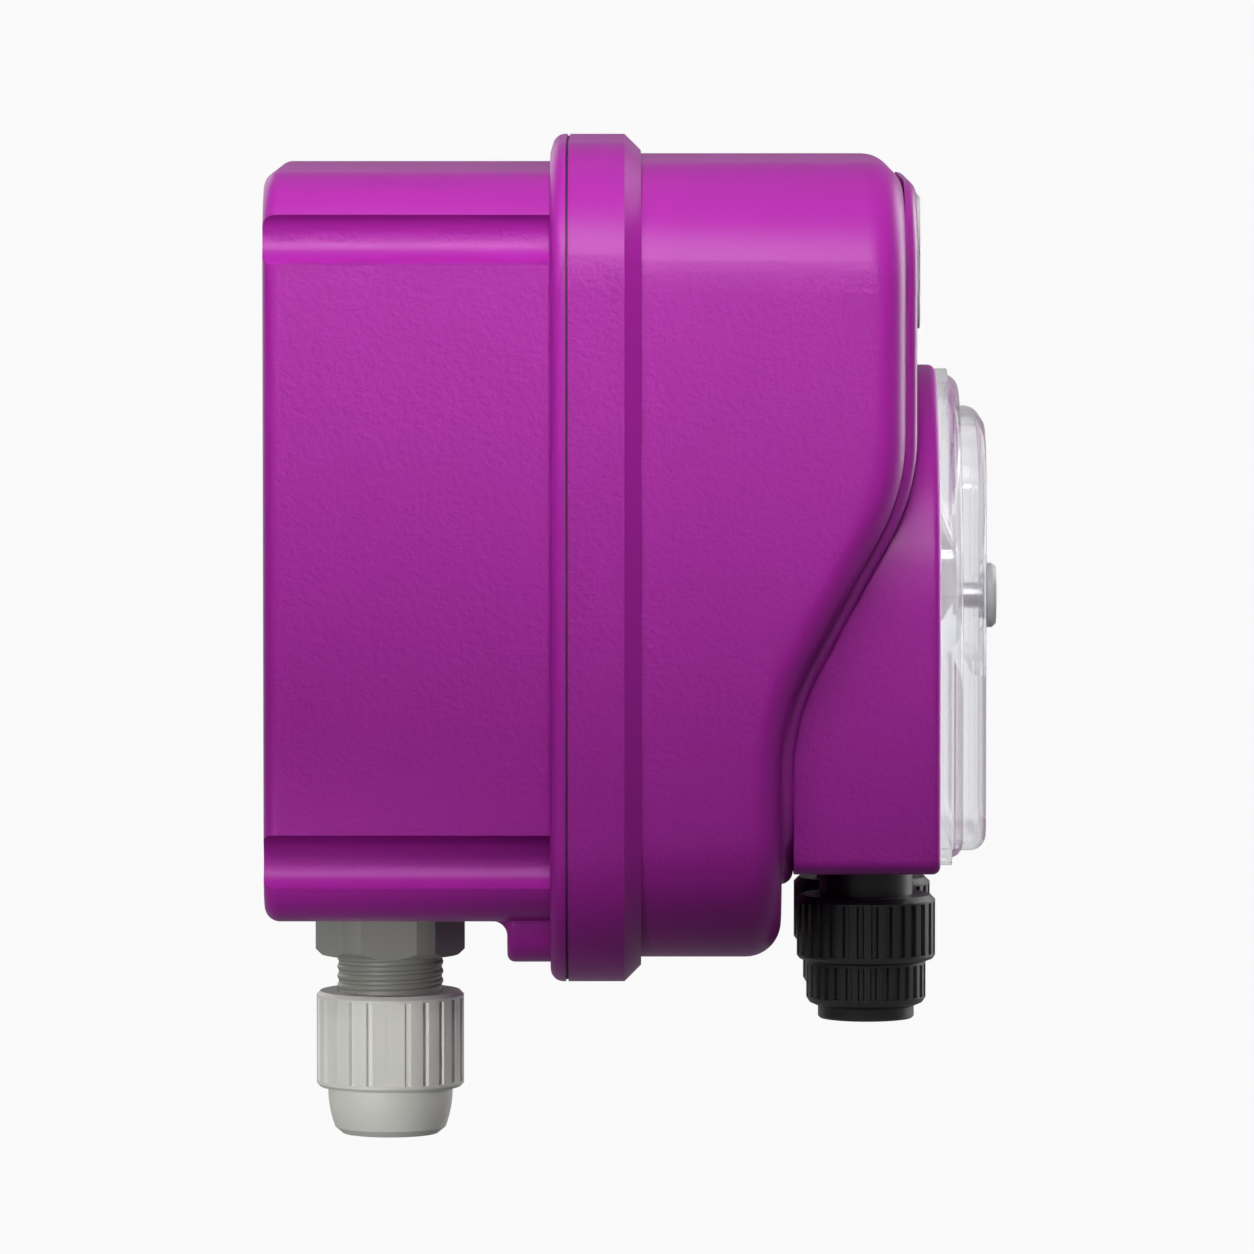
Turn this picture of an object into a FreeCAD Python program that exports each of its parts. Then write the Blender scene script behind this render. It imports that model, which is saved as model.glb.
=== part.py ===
import FreeCAD, Part
import math
import os
import re
import Sketcher

# Peristaltic dosing pump for a wall. X points away from the wall, Y across, Z up.
# The origin is the middle of the flat face that lies against the wall.

V = FreeCAD.Vector
doc = FreeCAD.newDocument("DosingPump")

SIZES = {
    # shells
    "wall_thickness": 2.5,
    "fit_gap": 0.3,
    "running_gap": 0.05,
    "casing_margin": 6.9,
    "rear_setback": 0.9,
    "rear_step": 1.4,
    "rear_lift": 6.5,
    "rear_corner_upper": 13.0,
    "rear_corner_lower": 8.0,
    "rear_edge_round": 2.4,
    "rear_depth": 44.3,
    "step_depth": 6.7,
    "step_drop": 0.2,
    "step_corner": 6.0,
    "step_edge_round": 1.2,
    "step_fillet": 2.3,
    "step_inset": 6.0,
    "groove_radius": 4.2,
    "groove_depth": 3.6,
    "groove_below": 9.8,
    "groove_above": 9.9,
    "flange_overhang": 3.1,
    "flange_drop": 3.8,
    "flange_corner": 22.0,
    "flange_lip": 2.4,
    "flange_slope": 2.6,
    "flange_edge_round": 2.0,
    "flange_depth": 14.1,
    "gasket_thickness": 0.4,
    "gasket_inset": 1.2,
    "front_top": 59.4,
    "front_bottom": -64.7,
    "front_corner": 19.5,
    "front_edge_round": 5.5,
    # sweep of the front from its upper to its lower plane
    "sweep_depth": 19.0,
    "lower_depth": 21.8,
    "swell_radius": 32.0,
    "hollow_radius": 36.0,
    "swell_rise": 27.1,
    "slope_angle": 28.3,
    # front panel
    "panel_margin": 2.5,
    "panel_below": 2.9,
    "panel_under": 2.4,
    "panel_corner": 15.0,
    "panel_thickness": 1.9,
    "panel_round": 2.0,
    "label_inset": 6.0,
    "label_below": 2.5,
    "label_height": 20.5,
    "label_corner": 5.0,
    "label_thickness": 0.9,
    "label_proud": 0.55,
    # pump head
    "axis_height": -9.9,
    "head_radius": 36.5,
    "head_drop": 41.3,
    "head_depth": 24.7,
    "head_corner": 2.5,
    "head_edge_round": 1.2,
    "head_shoulder": 2.5,
    "head_behind": 2.7,
    "bearing_length": 6.0,
    "track_radius": 28.0,
    "relief_radius": 30.4,
    "relief_drop": 3.0,
    "relief_corner": 3.0,
    "floor_thickness": 4.2,
    # rotor and tube
    "track_depth": 10.3,
    "tube_diameter": 6.4,
    "tube_bore": 3.2,
    "leg_drop": 12.0,
    "leg_straight": 3.2,
    "leg_end": 7.0,
    "roller_diameter": 12.0,
    "roller_length": 11.6,
    "pin_diameter": 3.0,
    "shaft_diameter": 6.0,
    "journal_diameter": 4.0,
    "hub_diameter": 14.0,
    "rotor_plate": 3.0,
    "rotor_rim": 3.1,
    "scallop_radius": 9.0,
    "scallop_reach": 6.5,
    "roller_edge": 0.8,
    "cap_plate": 3.0,
    "cap_clearance": 3.5,
    "cap_nose_radius": 7.4,
    "arm_radius": 4.4,
    "bearing_diameter": 12.0,
    "bearing_rim": 1.2,
    "bearing_rim_height": 0.7,
    # clear cover
    "cover_flange": 1.8,
    "cover_inset": 0.6,
    "cover_lift": 1.4,
    "dome_depth": 3.6,
    "dome_inset": 1.5,
    "dome_wall": 1.3,
    "dome_corner": 3.0,
    "dome_edge_round": 2.4,
    "window_depth": 3.9,
    "window_width": 50.0,
    "window_rise": 29.5,
    "window_lift": 1.2,
    "window_corner_upper": 14.0,
    "window_corner_lower": 4.0,
    "window_round": 2.6,
    "rib_height": -19.8,
    "rib_thickness": 2.2,
    "rib_depth": 1.0,
    "boss_diameter": 10.2,
    "boss_ring": 11.6,
    "boss_height": 2.2,
    "boss_lift": 0.7,
    "bush_wall": 1.6,
    # hose connections
    "hose_pitch": 30.0,
    "neck_diameter": 14.6,
    "neck_length": 4.8,
    "stem_diameter": 11.0,
    "nut_grip": 10.1,
    "nut_lower_grip": 6.9,
    "collar_length": 2.5,
    "nut_diameter": 21.8,
    "nut_low_diameter": 18.8,
    "collar_diameter": 15.1,
    "hose_diameter": 8.0,
    "barb_length": 3.4,
    "stem_bore": 2.2,
    "stem_rim": 1.2,
    "stem_rim_height": 2.0,
    "nut_seat": 1.2,
    "nut_floor": 3.5,
    "ferrule_wall": 2.0,
    "ferrule_flare": 0.4,
    "ferrule_play": 0.1,
    "spigot_wall": 1.0,
    "spigot_length": 3.0,
    "nut_ribs": 30,
    "rib_mouth": 1.5,
    "rib_depth_grip": 0.6,
    # cable gland
    "gland_axis": 18.6,
    "hex_flats": 22.0,
    "hex_corners": 23.7,
    "hex_height": 8.7,
    "gland_thread": 16.4,
    "thread_shown": 5.9,
    "thread_hidden": 7.0,
    "gland_nut_height": 15.2,
    "gland_dome_height": 7.5,
    "gland_nut_diameter": 23.4,
    "dome_top_diameter": 19.8,
    "dome_end_diameter": 17.6,
    "cable_bore": 8.0,
    "gland_ribs": 24,
    "inlet_thread": 16.0,
    "locknut_thickness": 4.0,
    "washer_thickness": 1.0,
    "seal_wall": 2.1,
    "seal_seat": 0.8,
    "gland_bore_wall": 1.2,
    # drive
    "gear_module": 0.8,
    "pinion_teeth": 14,
    "output_teeth": 46,
    "gear_width": 6.0,
    "gear_backlash": 0.25,
    "box_depth": 18.0,
    "box_wall": 2.5,
    "plate_thickness": 3.0,
    "motor_diameter": 36.0,
    "motor_length": 38.0,
    "motor_shaft": 3.2,
    "motor_edge": 1.2,
    "endcap_length": 4.0,
    "endcap_hub": 10.0,
    "endcap_hub_height": 2.0,
    "lug_side": 9.0,
    "lug_width": 4.8,
    "lug_thickness": 0.6,
    "lug_length": 4.0,
    "box_margin": 1.0,
    "box_corner": 9.0,
    "box_edge_round": 1.5,
    "box_post": 7.2,
    "box_screw": 3.0,
    "box_screw_head": 5.6,
    "box_screw_height": 1.7,
    "box_screw_inset": 3.0,
    "shaft_seat_wall": 2.5,
    # controls
    "board_setback": 11.2,
    "board_thickness": 1.6,
    "board_width": 70.0,
    "board_height": 24.0,
    "board_below": 1.0,
    "board_post": 6.0,
    "board_post_hole": 7.0,
    "board_inset": 4.0,
    "board_screw": 2.4,
    "board_screw_head": 4.6,
    "board_screw_height": 1.6,
    "dial_diameter": 12.0,
    "dial_slot": 1.6,
    "dial_slot_depth": 1.2,
    "dial_bevel": 0.6,
    "spindle_diameter": 4.0,
    "pot_width": 11.0,
    "pot_depth": 5.0,
    "dial_side": -17.0,
    "light_side": 17.0,
    "light_diameter": 5.0,
    "light_rim": 0.5,
    "light_base": 1.4,
    "light_dome": 0.6,
    "block_width": 34.0,
    "block_height": 14.0,
    "block_depth": 13.0,
    "block_rise": 18.2,
    "block_pitch": 6.8,
    "block_screw": 4.0,
    "block_entry": 4.0,
    # fasteners
    "screw_diameter": 4.0,
    "screw_head": 7.0,
    "mount_width": 64.0,
    "mount_height": 76.0,
    "mount_hole": 4.2,
    "corner_screw_side": 9.9,
    "corner_screw_upper": 7.6,
    "corner_screw_lower": 7.4,
    "corner_screw_sink": 6.0,
    "corner_screw_grip": 13.0,
    "screw_head_height": 2.6,
    "head_screw_side": 18.0,
    "head_screw_rise": 9.0,
    "head_screw_sink": 3.0,
    "mount_depth": 10.0,
    "boss_wall": 2.4,
    "post_rib": 2.0,
    "post_rib_rise": 5.6,
}

# Lengths that follow from the sizes above
DERIVED = {
    "panel_half": "head_radius+panel_margin",
    "front_half": "panel_half+casing_margin",
    "rear_half": "front_half-rear_setback",
    "flange_half": "front_half+flange_overhang",
    "rear_top": "front_top-rear_step",
    "rear_bottom": "front_bottom+rear_lift",
    "step_bottom": "front_bottom-step_drop",
    "flange_top": "front_top+flange_overhang",
    "flange_bottom": "front_bottom-flange_drop",
    "groove_upper": "rear_top-groove_below",
    "groove_lower": "rear_bottom+groove_above",
    "flange_start": "rear_depth",
    "step_start": "rear_depth-step_depth",
    "flange_end": "rear_depth+flange_depth",
    "lower_face": "flange_end+lower_depth",
    "front_face": "lower_face+sweep_depth",
    "swell_height": "axis_height+swell_rise",
    "head_bottom": "axis_height-head_drop",
    "head_rear": "lower_face-head_behind",
    "head_face": "lower_face+head_depth",
    "chamber_floor": "head_rear+bearing_length",
    "chamber_bottom": "head_bottom+floor_thickness",
    "tube_plane": "chamber_floor+track_depth",
    "panel_top": "front_top-panel_below",
    "panel_bottom": "head_bottom-panel_under",
    "label_top": "panel_top-label_below",
    "label_bottom": "label_top-label_height",
    "label_face": "front_face+panel_thickness+label_proud",
    "label_back": "label_face-label_thickness",
    "label_half": "panel_half-label_inset",
    "cover_bottom": "head_bottom+cover_lift",
    "dome_face": "head_face+dome_depth",
    "window_face": "dome_face+window_depth",
    "window_top": "axis_height+window_rise",
    "window_bottom": "cover_bottom+window_lift",
    "cap_front": "window_face-cap_clearance",
    "boss_face": "window_face+boss_height",
    "nut_top": "head_bottom-neck_length",
    "nut_step": "nut_top-nut_grip",
    "nut_low": "nut_step-nut_lower_grip",
    "nut_end": "nut_low-collar_length",
    "hex_end": "rear_bottom-hex_height",
    "gland_nut_top": "hex_end-thread_shown",
    "thread_end": "gland_nut_top-thread_hidden",
    "gland_nut_skirt": "gland_nut_top-gland_nut_height",
    "gland_nut_end": "gland_nut_skirt-gland_dome_height",
    "box_rear": "head_rear-plate_thickness-box_depth",
    "board_front": "front_face-board_setback",
    "board_top": "label_top-board_below",
    "board_bottom": "board_top-board_height",
    "control_height": "(label_top+label_bottom)/2",
    "tube_wall_pair": "tube_diameter-tube_bore",
}

sheet = doc.addObject("Spreadsheet::Sheet", "Sizes")
for row, (alias, value) in enumerate(SIZES.items(), start=1):
    sheet.set(f"A{row}", alias)
    sheet.set(f"B{row}", str(value))
    sheet.setAlias(f"B{row}", alias)
doc.recompute()

NODES = {}
PLANES = {"XY": "XY_Plane", "XZ": "XZ_Plane", "YZ": "YZ_Plane"}
OFFSET_SIGN = {"XY": "", "XZ": "-", "YZ": ""}


def linked(text):
    """Names with an underscore are sizes of the sheet, or follow from them."""
    def meaning(found):
        name = found.group()
        return f"({linked(DERIVED[name])})" if name in DERIVED else f"Sizes.{name}"
    return re.sub(r"\b[a-z]+(?:_[a-z]+)+\b", meaning, str(text))


def number(text):
    """The present value of an expression."""
    return float(sheet.evalExpression(linked(text)))


def bind(thing, path, text):
    thing.setExpression(path, linked(text))


def place(thing, at):
    for letter, text in zip("xyz", at):
        bind(thing, f".Placement.Base.{letter}", text)


def node(label, thing):
    """Register a finished piece under its own name."""
    thing.Label = label
    NODES[label] = thing
    return thing


def origin_plane(body, plane):
    return next(f for f in body.Origin.OriginFeatures if f.Role == PLANES[plane])


def arc_between(first, last, radius):
    """Short arc that turns left for a positive radius and right for a negative one."""
    chord = last - first
    middle = (first + last) * 0.5
    reach = math.sqrt(max(radius * radius - chord.Length ** 2 / 4, 0))
    side = V(-chord.y, chord.x, 0).normalize()
    centre = middle + side * (reach if radius > 0 else -reach)
    start, end = (first, last) if radius > 0 else (last, first)
    angles = [math.atan2(p.y - centre.y, p.x - centre.x) for p in (start, end)]
    circle = Part.Circle(centre, V(0, 0, 1), abs(radius))
    return Part.ArcOfCircle(circle, angles[0], angles[1])


def outline(body, plane, offset, points):
    """Closed sketch. A point is (x, y) or (x, y, radius of the arc that follows)."""
    sketch = body.newObject("Sketcher::SketchObject", "Outline")
    sketch.AttachmentSupport = (origin_plane(body, plane), "")
    sketch.MapMode = "FlatFace"
    bind(sketch, ".AttachmentOffset.Base.z", f"{OFFSET_SIGN[plane]}({offset})")
    spots = [V(number(p[0]), number(p[1]), 0) for p in points]
    count = len(points)
    ends = []
    for i, point in enumerate(points):
        first, last = spots[i], spots[(i + 1) % count]
        if len(point) == 2:
            sketch.addGeometry(Part.LineSegment(first, last), False)
            ends.append((1, 2))
        else:
            radius = number(point[2])
            sketch.addGeometry(arc_between(first, last, radius), False)
            ends.append((1, 2) if radius > 0 else (2, 1))
    for i in range(count):
        follower = (i + 1) % count
        sketch.addConstraint(Sketcher.Constraint("Coincident", i, ends[i][1], follower,
                                                 ends[follower][0]))
    for i, point in enumerate(points):
        for kind, text in (("DistanceX", point[0]), ("DistanceY", point[1])):
            index = sketch.addConstraint(Sketcher.Constraint(kind, i, ends[i][0], number(text)))
            bind(sketch, f"Constraints[{index}]", text)
        if len(point) == 3:
            radius = point[2].lstrip("-")
            index = sketch.addConstraint(Sketcher.Constraint("Radius", i, number(radius)))
            bind(sketch, f"Constraints[{index}]", radius)
    return sketch


def new_body(name, at=("0", "0", "0")):
    body = doc.addObject("PartDesign::Body", name)
    place(body, at)
    return body


def padded(name, plane, offset, length, points, at=("0", "0", "0"), backwards=False):
    """Body with one padded outline. YZ grows to the front, XY upwards, XZ to +Y."""
    body = new_body(name, at)
    pad = body.newObject("PartDesign::Pad", "Pad")
    pad.Profile = outline(body, plane, offset, points)
    bind(pad, "Length", length)
    pad.Reversed = (plane == "XZ") != backwards
    return body


def turned(name, axis, at, points):
    """Body of revolution about its own X or Z axis, from (x, z) points."""
    body = new_body(name, at)
    turn = body.newObject("PartDesign::Revolution", "Turn")
    turn.Profile = outline(body, "XZ", "0", points)
    role = {"X": "X_Axis", "Z": "Z_Axis"}[axis]
    turn.ReferenceAxis = (next(f for f in body.Origin.OriginFeatures if f.Role == role), [""])
    turn.Angle = 360
    return body


def steps(profile, inner="0", upright=False):
    """Turned outline from (place, radius) stations, closed along the inner radius."""
    points = [(profile[0][0], inner)] + list(profile) + [(profile[-1][0], inner)]
    return [(r, x) for x, r in points] if upright else points


def cylinder(name, axis, at, radius, length):
    """Cylinder that starts at a point and grows along X, Y or Z."""
    thing = doc.addObject("Part::Cylinder", name)
    turns = {"X": (V(0, 1, 0), 90), "Y": (V(1, 0, 0), -90), "Z": (V(0, 0, 1), 0)}
    thing.Placement = FreeCAD.Placement(V(), FreeCAD.Rotation(*turns[axis]))
    place(thing, at)
    bind(thing, "Radius", radius)
    bind(thing, "Height", length)
    return thing


def box(name, at, size):
    thing = doc.addObject("Part::Box", name)
    place(thing, at)
    for path, text in zip(("Length", "Width", "Height"), size):
        bind(thing, path, text)
    return thing


def cut(name, base, tools):
    thing = doc.addObject("Part::Cut", name)
    thing.Base = base
    thing.Tool = tools[0] if len(tools) == 1 else fuse(name + "Tools", tools)
    return thing


def fuse(name, pieces):
    thing = doc.addObject("Part::MultiFuse", name)
    thing.Shapes = pieces
    return thing


def common(name, pieces):
    thing = doc.addObject("Part::MultiCommon", name)
    thing.Shapes = pieces
    return thing


def group(name, pieces):
    """Equal pieces that stay separate solids in one node."""
    thing = doc.addObject("Part::Compound", name)
    thing.Links = pieces
    return thing


def frame_points(half, low, high, corner_low, corner_high):
    """Rounded rectangle, counter-clockwise from the lower left."""
    return [
        (f"-({half})+({corner_low})", low),
        (f"({half})-({corner_low})", low, corner_low),
        (half, f"({low})+({corner_low})"),
        (half, f"({high})-({corner_high})", corner_high),
        (f"({half})-({corner_high})", high),
        (f"-({half})+({corner_high})", high, corner_high),
        (f"-({half})", f"({high})-({corner_high})"),
        (f"-({half})", f"({low})+({corner_low})", corner_low),
    ]


def arch_points(radius, low, corner):
    """Half round top about the rotor axis, straight sides and a flat bottom."""
    return [
        (f"-({radius})+({corner})", low),
        (f"({radius})-({corner})", low, corner),
        (radius, f"({low})+({corner})"),
        (radius, "axis_height", radius),
        ("0", f"axis_height+({radius})", radius),
        (f"-({radius})", "axis_height"),
        (f"-({radius})", f"({low})+({corner})", corner),
    ]


def chosen_edges(body, wanted):
    """The body's tip, with the names of its edges that a test picks out."""
    doc.recompute()
    tip = body.Tip
    return tip, [f"Edge{i}" for i, edge in enumerate(tip.Shape.Edges, start=1) if wanted(edge)]


def rounded_edges(body, name, radius, wanted):
    base = chosen_edges(body, wanted)
    fillet = body.newObject("PartDesign::Fillet", name)
    fillet.Base = base
    bind(fillet, "Radius", radius)


def bevelled_edges(body, name, size, wanted):
    base = chosen_edges(body, wanted)
    chamfer = body.newObject("PartDesign::Chamfer", name)
    chamfer.Base = base
    bind(chamfer, "Size", size)


def at_x(place_text):
    """Test for edges that lie in one plane across X."""
    def wanted(edge):
        spot = number(place_text)
        return abs(edge.BoundBox.XMin - spot) < 0.01 and abs(edge.BoundBox.XMax - spot) < 0.01
    return wanted


def sweep_points(inset):
    """Cutter in front of the S-shaped face, moved inwards by the inset."""
    swell = f"(swell_radius-({inset}))"
    hollow = f"(hollow_radius+({inset}))"
    face = f"(front_face-({inset}))"
    low_face = f"(lower_face-({inset}))"
    radii = "(swell_radius+hollow_radius)"
    drop = f"(({radii}-cos(slope_angle)*(lower_face-front_face+{radii}))/sin(slope_angle))"
    hollow_height = f"(swell_height-{drop})"
    swell_x = "(front_face-swell_radius)"
    hollow_x = "(lower_face+hollow_radius)"
    return [
        (face, "flange_top+1"),
        (face, "swell_height", f"-{swell}"),
        (f"{swell_x}+{swell}*cos(slope_angle)", f"swell_height-{swell}*sin(slope_angle)"),
        (f"{hollow_x}-{hollow}*cos(slope_angle)", f"{hollow_height}+{hollow}*sin(slope_angle)", hollow),
        (low_face, hollow_height),
        (low_face, "flange_bottom-1"),
        ("head_face+10", "flange_bottom-1"),
        ("head_face+10", "flange_top+1"),
    ]


def swept_form(name, start, end, inset, points):
    """Outline padded forwards and cut along the S-shaped face."""
    body = padded(name, "YZ", start, f"({end})-({start})", points)
    doc.recompute()
    pocket = body.newObject("PartDesign::Pocket", "Sweep")
    pocket.Profile = outline(body, "XZ", "0", sweep_points(inset))
    pocket.Type = "ThroughAll"
    pocket.Midplane = True
    return body


def grooves():
    """Round-bottomed cutters along both sides of the rear casing, open at the wall."""
    across = "(rear_half-groove_depth+groove_radius)"
    return [
        cylinder(f"Groove{label}{side + 1}", "X", ("-1", f"{side}*{across}", height),
                 "groove_radius", "flange_start+1")
        for side in (-1, 1)
        for label, height in (("Upper", "groove_upper"), ("Lower", "groove_lower"))
    ]


def casing_corners():
    """Places of the four screws that hold the shells together, as (y, z)."""
    return [
        (f"{side}*(rear_half-corner_screw_side)", height)
        for side in (-1, 1)
        for height in ("rear_top-corner_screw_upper", "rear_bottom+corner_screw_lower")
    ]


def inside_form(name, extra="0"):
    """Space inside the rear shell, with its own corner rounding."""
    return padded(name, "YZ", "wall_thickness", f"flange_start+({extra})-wall_thickness+flange_lip",
                  frame_points("rear_half-wall_thickness", "rear_bottom+wall_thickness",
                               "rear_top-wall_thickness", "rear_corner_lower-wall_thickness",
                               "rear_corner_upper-wall_thickness"))


def groove_linings():
    """Bars that keep the wall closed behind the side grooves."""
    reach = "(groove_depth+1)"
    tall = "2*(groove_radius+wall_thickness)"
    pieces = []
    for side in (-1, 1):
        across = f"rear_half-wall_thickness-{reach}+0.5" if side > 0 else "-rear_half+wall_thickness-0.5"
        for i, height in enumerate(("groove_upper", "groove_lower")):
            name = f"Lining{i}{'Left' if side > 0 else 'Right'}"
            pieces.append(box(name, ("wall_thickness", across, f"{height}-groove_radius-wall_thickness"),
                              ("flange_start-wall_thickness", reach, tall)))
    return pieces


def make_rear_casing():
    body = padded("RearShell", "YZ", "0", "flange_start",
                  frame_points("rear_half", "rear_bottom", "rear_top",
                               "rear_corner_lower", "rear_corner_upper"))
    rounded_edges(body, "RearEdge", "rear_edge_round", at_x("0"))
    step = padded("Step", "YZ", "step_start", "flange_start-step_start",
                  frame_points("rear_half-step_inset", "step_bottom", "rear_bottom+step_corner",
                               "step_corner", "1"))
    rounded_edges(step, "StepEdge", "step_edge_round", at_x("step_start"))
    web = step_web()
    flange = padded("RearFlange", "YZ", "flange_start", "flange_lip",
                    frame_points("flange_half", "flange_bottom", "flange_top",
                                 "flange_corner", "flange_corner"))
    rounded_edges(flange, "FlangeEdge", "flange_edge_round", at_x("flange_start"))
    hollow = inside_form("RearHollow", "2")
    linings = groove_linings()
    outer = fuse("RearOuter", [body, step, web, flange])
    lining = common("LiningInside", [fuse("Linings", linings), inside_form("LiningLimit")])
    pillars, holes = [], []
    for i, (y, z) in enumerate(casing_corners()):
        at = ("0.5", y, z)
        pillars.append(cylinder(f"Pillar{i}", "X", at, "screw_diameter/2+boss_wall",
                                "flange_start+flange_lip-0.5"))
        holes.append(cylinder(f"PillarHole{i}", "X", ("-1", y, z), "screw_diameter/2+0.2", "flange_end"))
        holes.append(cylinder(f"PillarHead{i}", "X", ("-1", y, z), "screw_head/2+fit_gap",
                              "corner_screw_sink+1"))
    for i, (y, z) in enumerate(mount_places()):
        pillars.append(cylinder(f"MountPost{i}", "X", ("0.5", y, z), "mount_hole/2+boss_wall",
                                "mount_depth+2"))
        holes.append(cylinder(f"MountHole{i}", "X", ("-1", y, z), "mount_hole/2", "mount_depth+1"))
    holes.append(cylinder("InletHole", "Z", ("gland_axis", "0", "rear_bottom-1"),
                          "inlet_thread/2+0.15", "wall_thickness+2"))
    holes += grooves()
    holed = cut("RearHollowed", outer, [hollow])
    full = fuse("RearFull", [holed, lining] + pillars)
    node("rear_casing", cut("RearCasing", full, holes))


def step_web():
    """Hollow fillet between the underside of the rear shell and the step."""
    half = "(rear_half-rear_corner_lower)"
    corner = box("StepCorner", ("step_start-step_fillet", f"-{half}", "rear_bottom-step_fillet"),
                 ("step_fillet+step_edge_round", f"2*{half}", "step_fillet+0.5"))
    rod = cylinder("StepRod", "Y", ("step_start-step_fillet", f"-{half}-1", "rear_bottom-step_fillet"),
                   "step_fillet", f"2*{half}+2")
    return cut("StepWeb", corner, [rod])


def mount_places():
    return [
        (f"{side}*mount_width/2", f"{rise}*mount_height/2")
        for side in (-1, 1) for rise in (-1, 1)
    ]


def make_gasket():
    ring = frame_points("flange_half-gasket_inset", "flange_bottom+gasket_inset",
                        "flange_top-gasket_inset", "flange_corner-gasket_inset",
                        "flange_corner-gasket_inset")
    start = "flange_start+flange_lip"
    band = padded("GasketBand", "YZ", start, "gasket_thickness", ring)
    hole = padded("GasketHole", "YZ", f"{start}-1", "gasket_thickness+2",
                  frame_points("rear_half-wall_thickness", "rear_bottom+wall_thickness",
                               "rear_top-wall_thickness", "rear_corner_lower-wall_thickness",
                               "rear_corner_upper-wall_thickness"))
    holes = [hole]
    for i, (y, z) in enumerate(casing_corners()):
        holes.append(cylinder(f"GasketScrew{i}", "X", (f"{start}-1", y, z),
                              "screw_diameter/2+boss_wall+0.3", "4"))
    node("casing_gasket", cut("Gasket", band, holes))


FRONT_START = "flange_start+flange_lip+gasket_thickness"


def opening_points(gap):
    """Way through the front for the rear part of the pump head."""
    return arch_points(f"(head_radius-head_shoulder+({gap}))",
                       f"head_bottom+head_shoulder-({gap})", "head_corner")


def make_front_casing():
    shape = frame_points("front_half", "front_bottom", "front_top", "front_corner", "front_corner")
    form = swept_form("FrontShell", FRONT_START, "front_face", "0", shape)
    edge_fillet(form, "front_edge_round")
    flange = padded("FrontFlange", "YZ", FRONT_START, f"flange_end-({FRONT_START})",
                    frame_points("flange_half", "flange_bottom", "flange_top",
                                 "flange_corner", "flange_corner"))
    bevelled_edges(flange, "Slope", "flange_slope", at_x("flange_end"))
    inner = frame_points("front_half-wall_thickness", "front_bottom+wall_thickness",
                         "front_top-wall_thickness", "front_corner-wall_thickness",
                         "front_corner-wall_thickness")
    hollow = swept_form("FrontHollow", f"{FRONT_START}-1", "front_face", "wall_thickness", inner)
    way = padded("HeadWay", "YZ", "flange_end", "head_face-flange_end", opening_points("fit_gap"))
    posts, holes = [], [way]
    for i, (y, z) in enumerate(casing_corners()):
        posts.append(cylinder(f"FrontPost{i}", "X", (FRONT_START, y, z),
                              "screw_diameter/2+boss_wall",
                              f"lower_face-wall_thickness-({FRONT_START})+1"))
        holes.append(cylinder(f"FrontPostHole{i}", "X", (f"{FRONT_START}-1", y, z),
                              "screw_diameter/2", "corner_screw_grip"))
        if "upper" in z:
            posts.append(box(f"FrontPostRib{i}", (FRONT_START, f"{y}-post_rib/2", z),
                             (f"lower_face-wall_thickness-({FRONT_START})", "post_rib", "post_rib_rise")))
    for i, (y, z) in enumerate(board_places()):
        posts.append(cylinder(f"BoardPost{i}", "X", ("board_front", y, z), "board_post/2",
                              "front_face-wall_thickness-board_front+0.5"))
        holes.append(cylinder(f"BoardPostHole{i}", "X", ("board_front-1", y, z), "board_screw/2",
                              "board_post_hole"))
    holes += control_holes("Casing", "fit_gap")
    shell = cut("FrontHollowed", fuse("FrontOuter", [form, flange]), [hollow])
    node("front_casing", cut("FrontCasing", fuse("FrontFull", [shell] + posts), holes))


def edge_fillet(body, radius):
    """Round the whole edge between the swept face and the sides."""
    doc.recompute()
    shape = body.Tip.Shape

    def borders_sweep(edge):
        faces = shape.ancestorsOfType(edge, Part.Face)
        return len([face for face in faces if looks_forward(face)]) == 1

    rounded_edges(body, "SweptEdge", radius, borders_sweep)


def looks_forward(face):
    normal = face.normalAt(*mid_uv(face))
    return abs(normal.y) < 1e-6 and normal.x > 0.05


def mid_uv(face):
    low_u, high_u, low_v, high_v = face.ParameterRange
    return (low_u + high_u) / 2, (low_v + high_v) / 2


def board_places():
    return [
        (f"{side}*(board_width/2-board_inset)", height)
        for side in (-1, 1) for height in ("board_top-board_inset", "board_bottom+board_inset")
    ]


def control_holes(name, gap):
    """Round ways for the dial and the light through the shell and its panel."""
    return [
        cylinder(f"{name}DialHole", "X", ("board_front+pot_depth", "dial_side", "control_height"),
                 f"dial_diameter/2+({gap})", "20"),
        cylinder(f"{name}LightHole", "X", ("board_front+pot_depth", "light_side", "control_height"),
                 f"light_diameter/2+({gap})", "20"),
    ]


def make_front_panel():
    shape = frame_points("panel_half", "panel_bottom", "panel_top", "panel_corner", "panel_corner")
    face = swept_form("PanelForm", "lower_face-4", "front_face+panel_thickness",
                      "-panel_thickness", shape)
    edge_fillet(face, "panel_round")
    behind = swept_form("PanelBack", "lower_face-5", "front_face", "0",
                        frame_points("front_half+5", "front_bottom-5", "front_top+5", "1", "1"))
    way = padded("PanelWay", "YZ", "flange_end", "head_face-flange_end+5", opening_points("fit_gap"))
    recess = padded("LabelRecess", "YZ", "label_back", "5", label_points("running_gap"))
    tools = [behind, way, recess] + control_holes("Panel", "fit_gap")
    node("front_panel", cut("FrontPanel", face, tools))


def label_points(gap):
    return frame_points(f"label_half+{gap}", f"label_bottom-{gap}", f"label_top+{gap}",
                        "label_corner", "label_corner")


def make_label():
    sheet_body = padded("LabelSheet", "YZ", "label_back", "label_thickness", label_points("0"))
    node("panel_label", cut("PanelLabel", sheet_body, control_holes("Label", "fit_gap")))


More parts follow.
